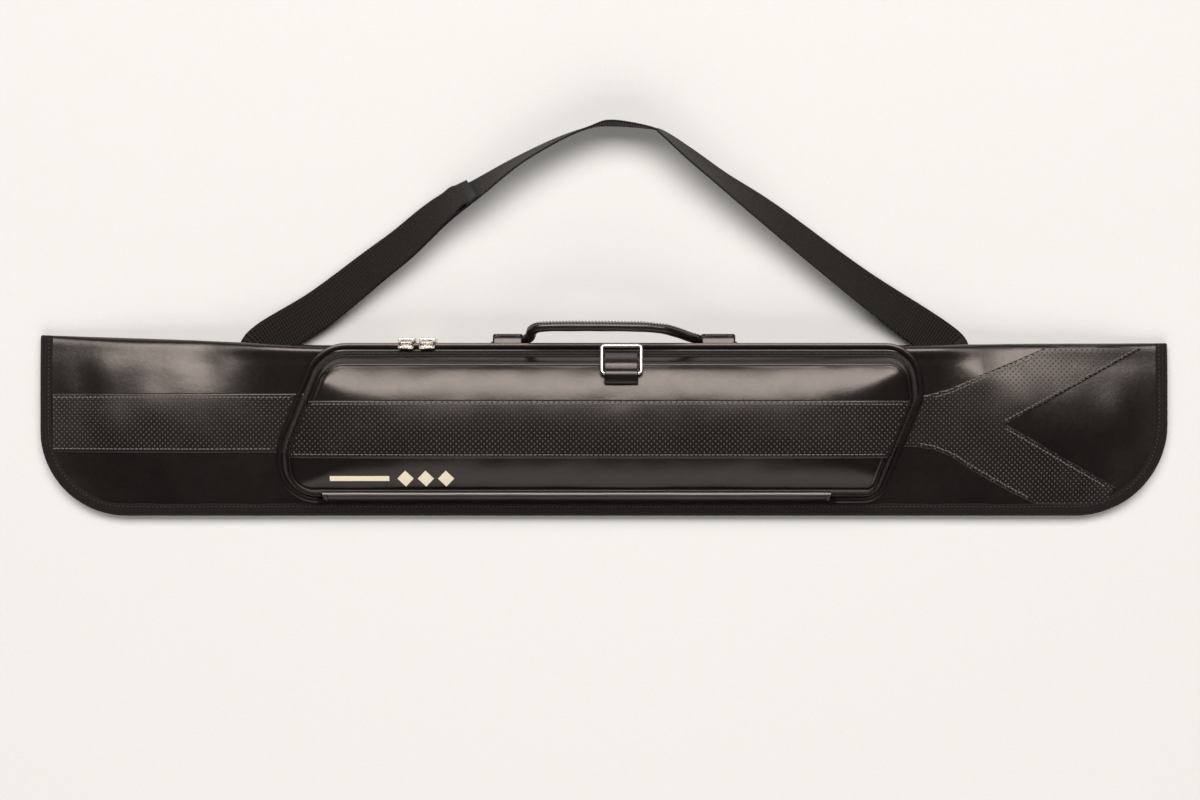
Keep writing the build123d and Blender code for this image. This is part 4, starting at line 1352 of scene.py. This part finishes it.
def makeSliders():
    for (x, tag), nose in zip(slider["places"], (1, -1)):
        y, z = slider["y"], slider["z"]
        outY, outZ = cos(radians(slider["lean"])), sin(radians(slider["lean"]))

        def spot(dx, away, up):
            return (x + dx, y + away * outY - up * outZ, z + away * outZ + up * outY)

        shapes = (((-0.8 * nose, -0.7, 0), (10.2, 1.5, 7.2)), ((3.6 * nose, -0.7, 0), (4.4, 1.5, 8.8)),
                  ((0, 0.5, 2.9), (9.4, 1.0, 1.2)), ((0, 0.5, -2.9), (9.4, 1.0, 1.2)),
                  ((-3.2, 1.5, 0), (1.3, 2.4, 2.6)), ((3.2, 1.5, 0), (1.3, 2.4, 2.6)), ((0, 2.9, 0), (7.6, 0.9, 2.4)))
        blocks = [(spot(*at), size, slider["lean"]) for at, size in shapes]
        bodyPiece = bevelled("zipSlider" + tag.title(), blocks, nickel, 0.4)
        settle(bodyPiece, "zip_slider_" + tag, "nickel_metal", "slider_" + tag)
        eyeY, eyeZ = y + slider["eye"] * outY, z + slider["eye"] * outZ
        # bail wire, frame and knurled grip of the pull
        half = slider["pullHalf"]
        bail = [(x - half, eyeY + 3.0, eyeZ - 4.6), (x - half + 0.2, eyeY + 1.4, eyeZ - 1.6),
                (x - half + 1.0, eyeY, eyeZ)]
        bail += [(x, eyeY, eyeZ)] + [(2 * x - a, b, c) for a, b, c in reversed(bail)]
        wire = tubePiece("pullBail" + tag.title(), smoothLine(np.array(bail), 0.7, 0.3), 0.75, nickel,
                         (0, 0.3, 1), sides=10)
        midY = eyeY + 2.9
        blocks = [((x - half, midY, eyeZ - 8.0), (1.8, 2.6, 8.0), 0),
                  ((x + half, midY, eyeZ - 8.0), (1.8, 2.6, 8.0), 0),
                  ((x, midY, eyeZ - 4.9), (11.0, 2.6, 1.8), 0), ((x, midY, eyeZ - 19.0), (12.4, 2.6, 14.6), 0)]
        ridges = []
        for side in (-1, 1):
            for row in range(9):
                ridges.append(((x, midY + side * 1.45, eyeZ - 13.0 - row * 1.45), (11.2, 0.5, 0.8), 0))
        grip = bevelled("zipPull" + tag.title(), blocks, nickel, 0.45)
        knurl = bevelled("pullKnurl" + tag.title(), ridges, nickel, 0.15, 1)
        for piece in (wire, grip, knurl):
            settle(piece, "zip_pull_" + tag, "nickel_metal")
        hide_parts("pull_" + tag)
    print("sliders")


makeSliders()

# camera, light and floor

view = dict(centre=(-3 * mm, 22 * mm), height=1.6, wide=0.909)


def softbox(name, size, radiance, place, mirrored=True):
    # rectangular light aimed at the middle of the case; mirrored=False keeps it out of the highlights
    data = bpy.data.lights.new(name, "AREA")
    data.shape = "RECTANGLE"
    data.size, data.size_y = size
    data.energy = radiance * pi * size[0] * size[1]
    data.color = (1.0, 0.985, 0.965)
    box = bpy.data.objects.new(name, data)
    box.location = place
    aim = Vector((0, 0.02, 0)) - Vector(place)
    box.rotation_euler = aim.to_track_quat("-Z", "Y").to_euler()
    box.visible_glossy = mirrored
    bpy.context.scene.collection.objects.link(box)


def makeStage():
    softbox("keyBox", (4.5, 2.0), 6.9, (0.0, 1.92, 3.2))
    softbox("lowFill", (3.6, 1.1), 0.9, (0.0, -2.2, 0.85))
    softbox("floorFill", (4.0, 1.6), 1.9, (0.0, -2.1, 2.1), mirrored=False)
    world = bpy.data.worlds.new("room")
    world.use_nodes = True
    world.node_tree.nodes["Background"].inputs[0].default_value = (1.0, 0.98, 0.95, 1)
    world.node_tree.nodes["Background"].inputs[1].default_value = 0.04
    bpy.context.scene.world = world
    paper = plainMaterial("paleFloor", (0.745, 0.73, 0.71), 0.9, 900.0, 0.00005, 0.02)
    edge = 3000.0
    floorCorners = [(x * edge, y * edge, -0.3) for x, y in ((-1, -1), (1, -1), (1, 1), (-1, 1))]
    floor = meshPiece("floor", floorCorners, [(0, 1, 2, 3)], paper, smooth=False)
    eye = bpy.data.cameras.new("eye")
    eye.sensor_width = 36.0
    eye.lens = 36.0 * view["height"] / view["wide"]
    camera = bpy.data.objects.new("eye", eye)
    camera.location = (*view["centre"], view["height"])
    bpy.context.scene.collection.objects.link(camera)
    bpy.context.scene.camera = camera
    scene = bpy.context.scene
    scene.view_settings.view_transform = "Standard"
    scene.view_settings.look = "None"


makeStage()
# finishes of the CAD nodes that stay in view
for name, finish in (("hinge_end_tabs", caseLeather), ("strap_tab_left", caseLeather),
                     ("strap_tab_right", caseLeather), ("front_ring", nickel), ("strap_ring_left", nickel),
                     ("strap_ring_right", nickel), ("strap_loop_left", strapWeb), ("strap_loop_right", strapWeb)):
    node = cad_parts.get(name)
    if node is not None:
        node.data.materials.clear()
        node.data.materials.append(finish)

print("done")
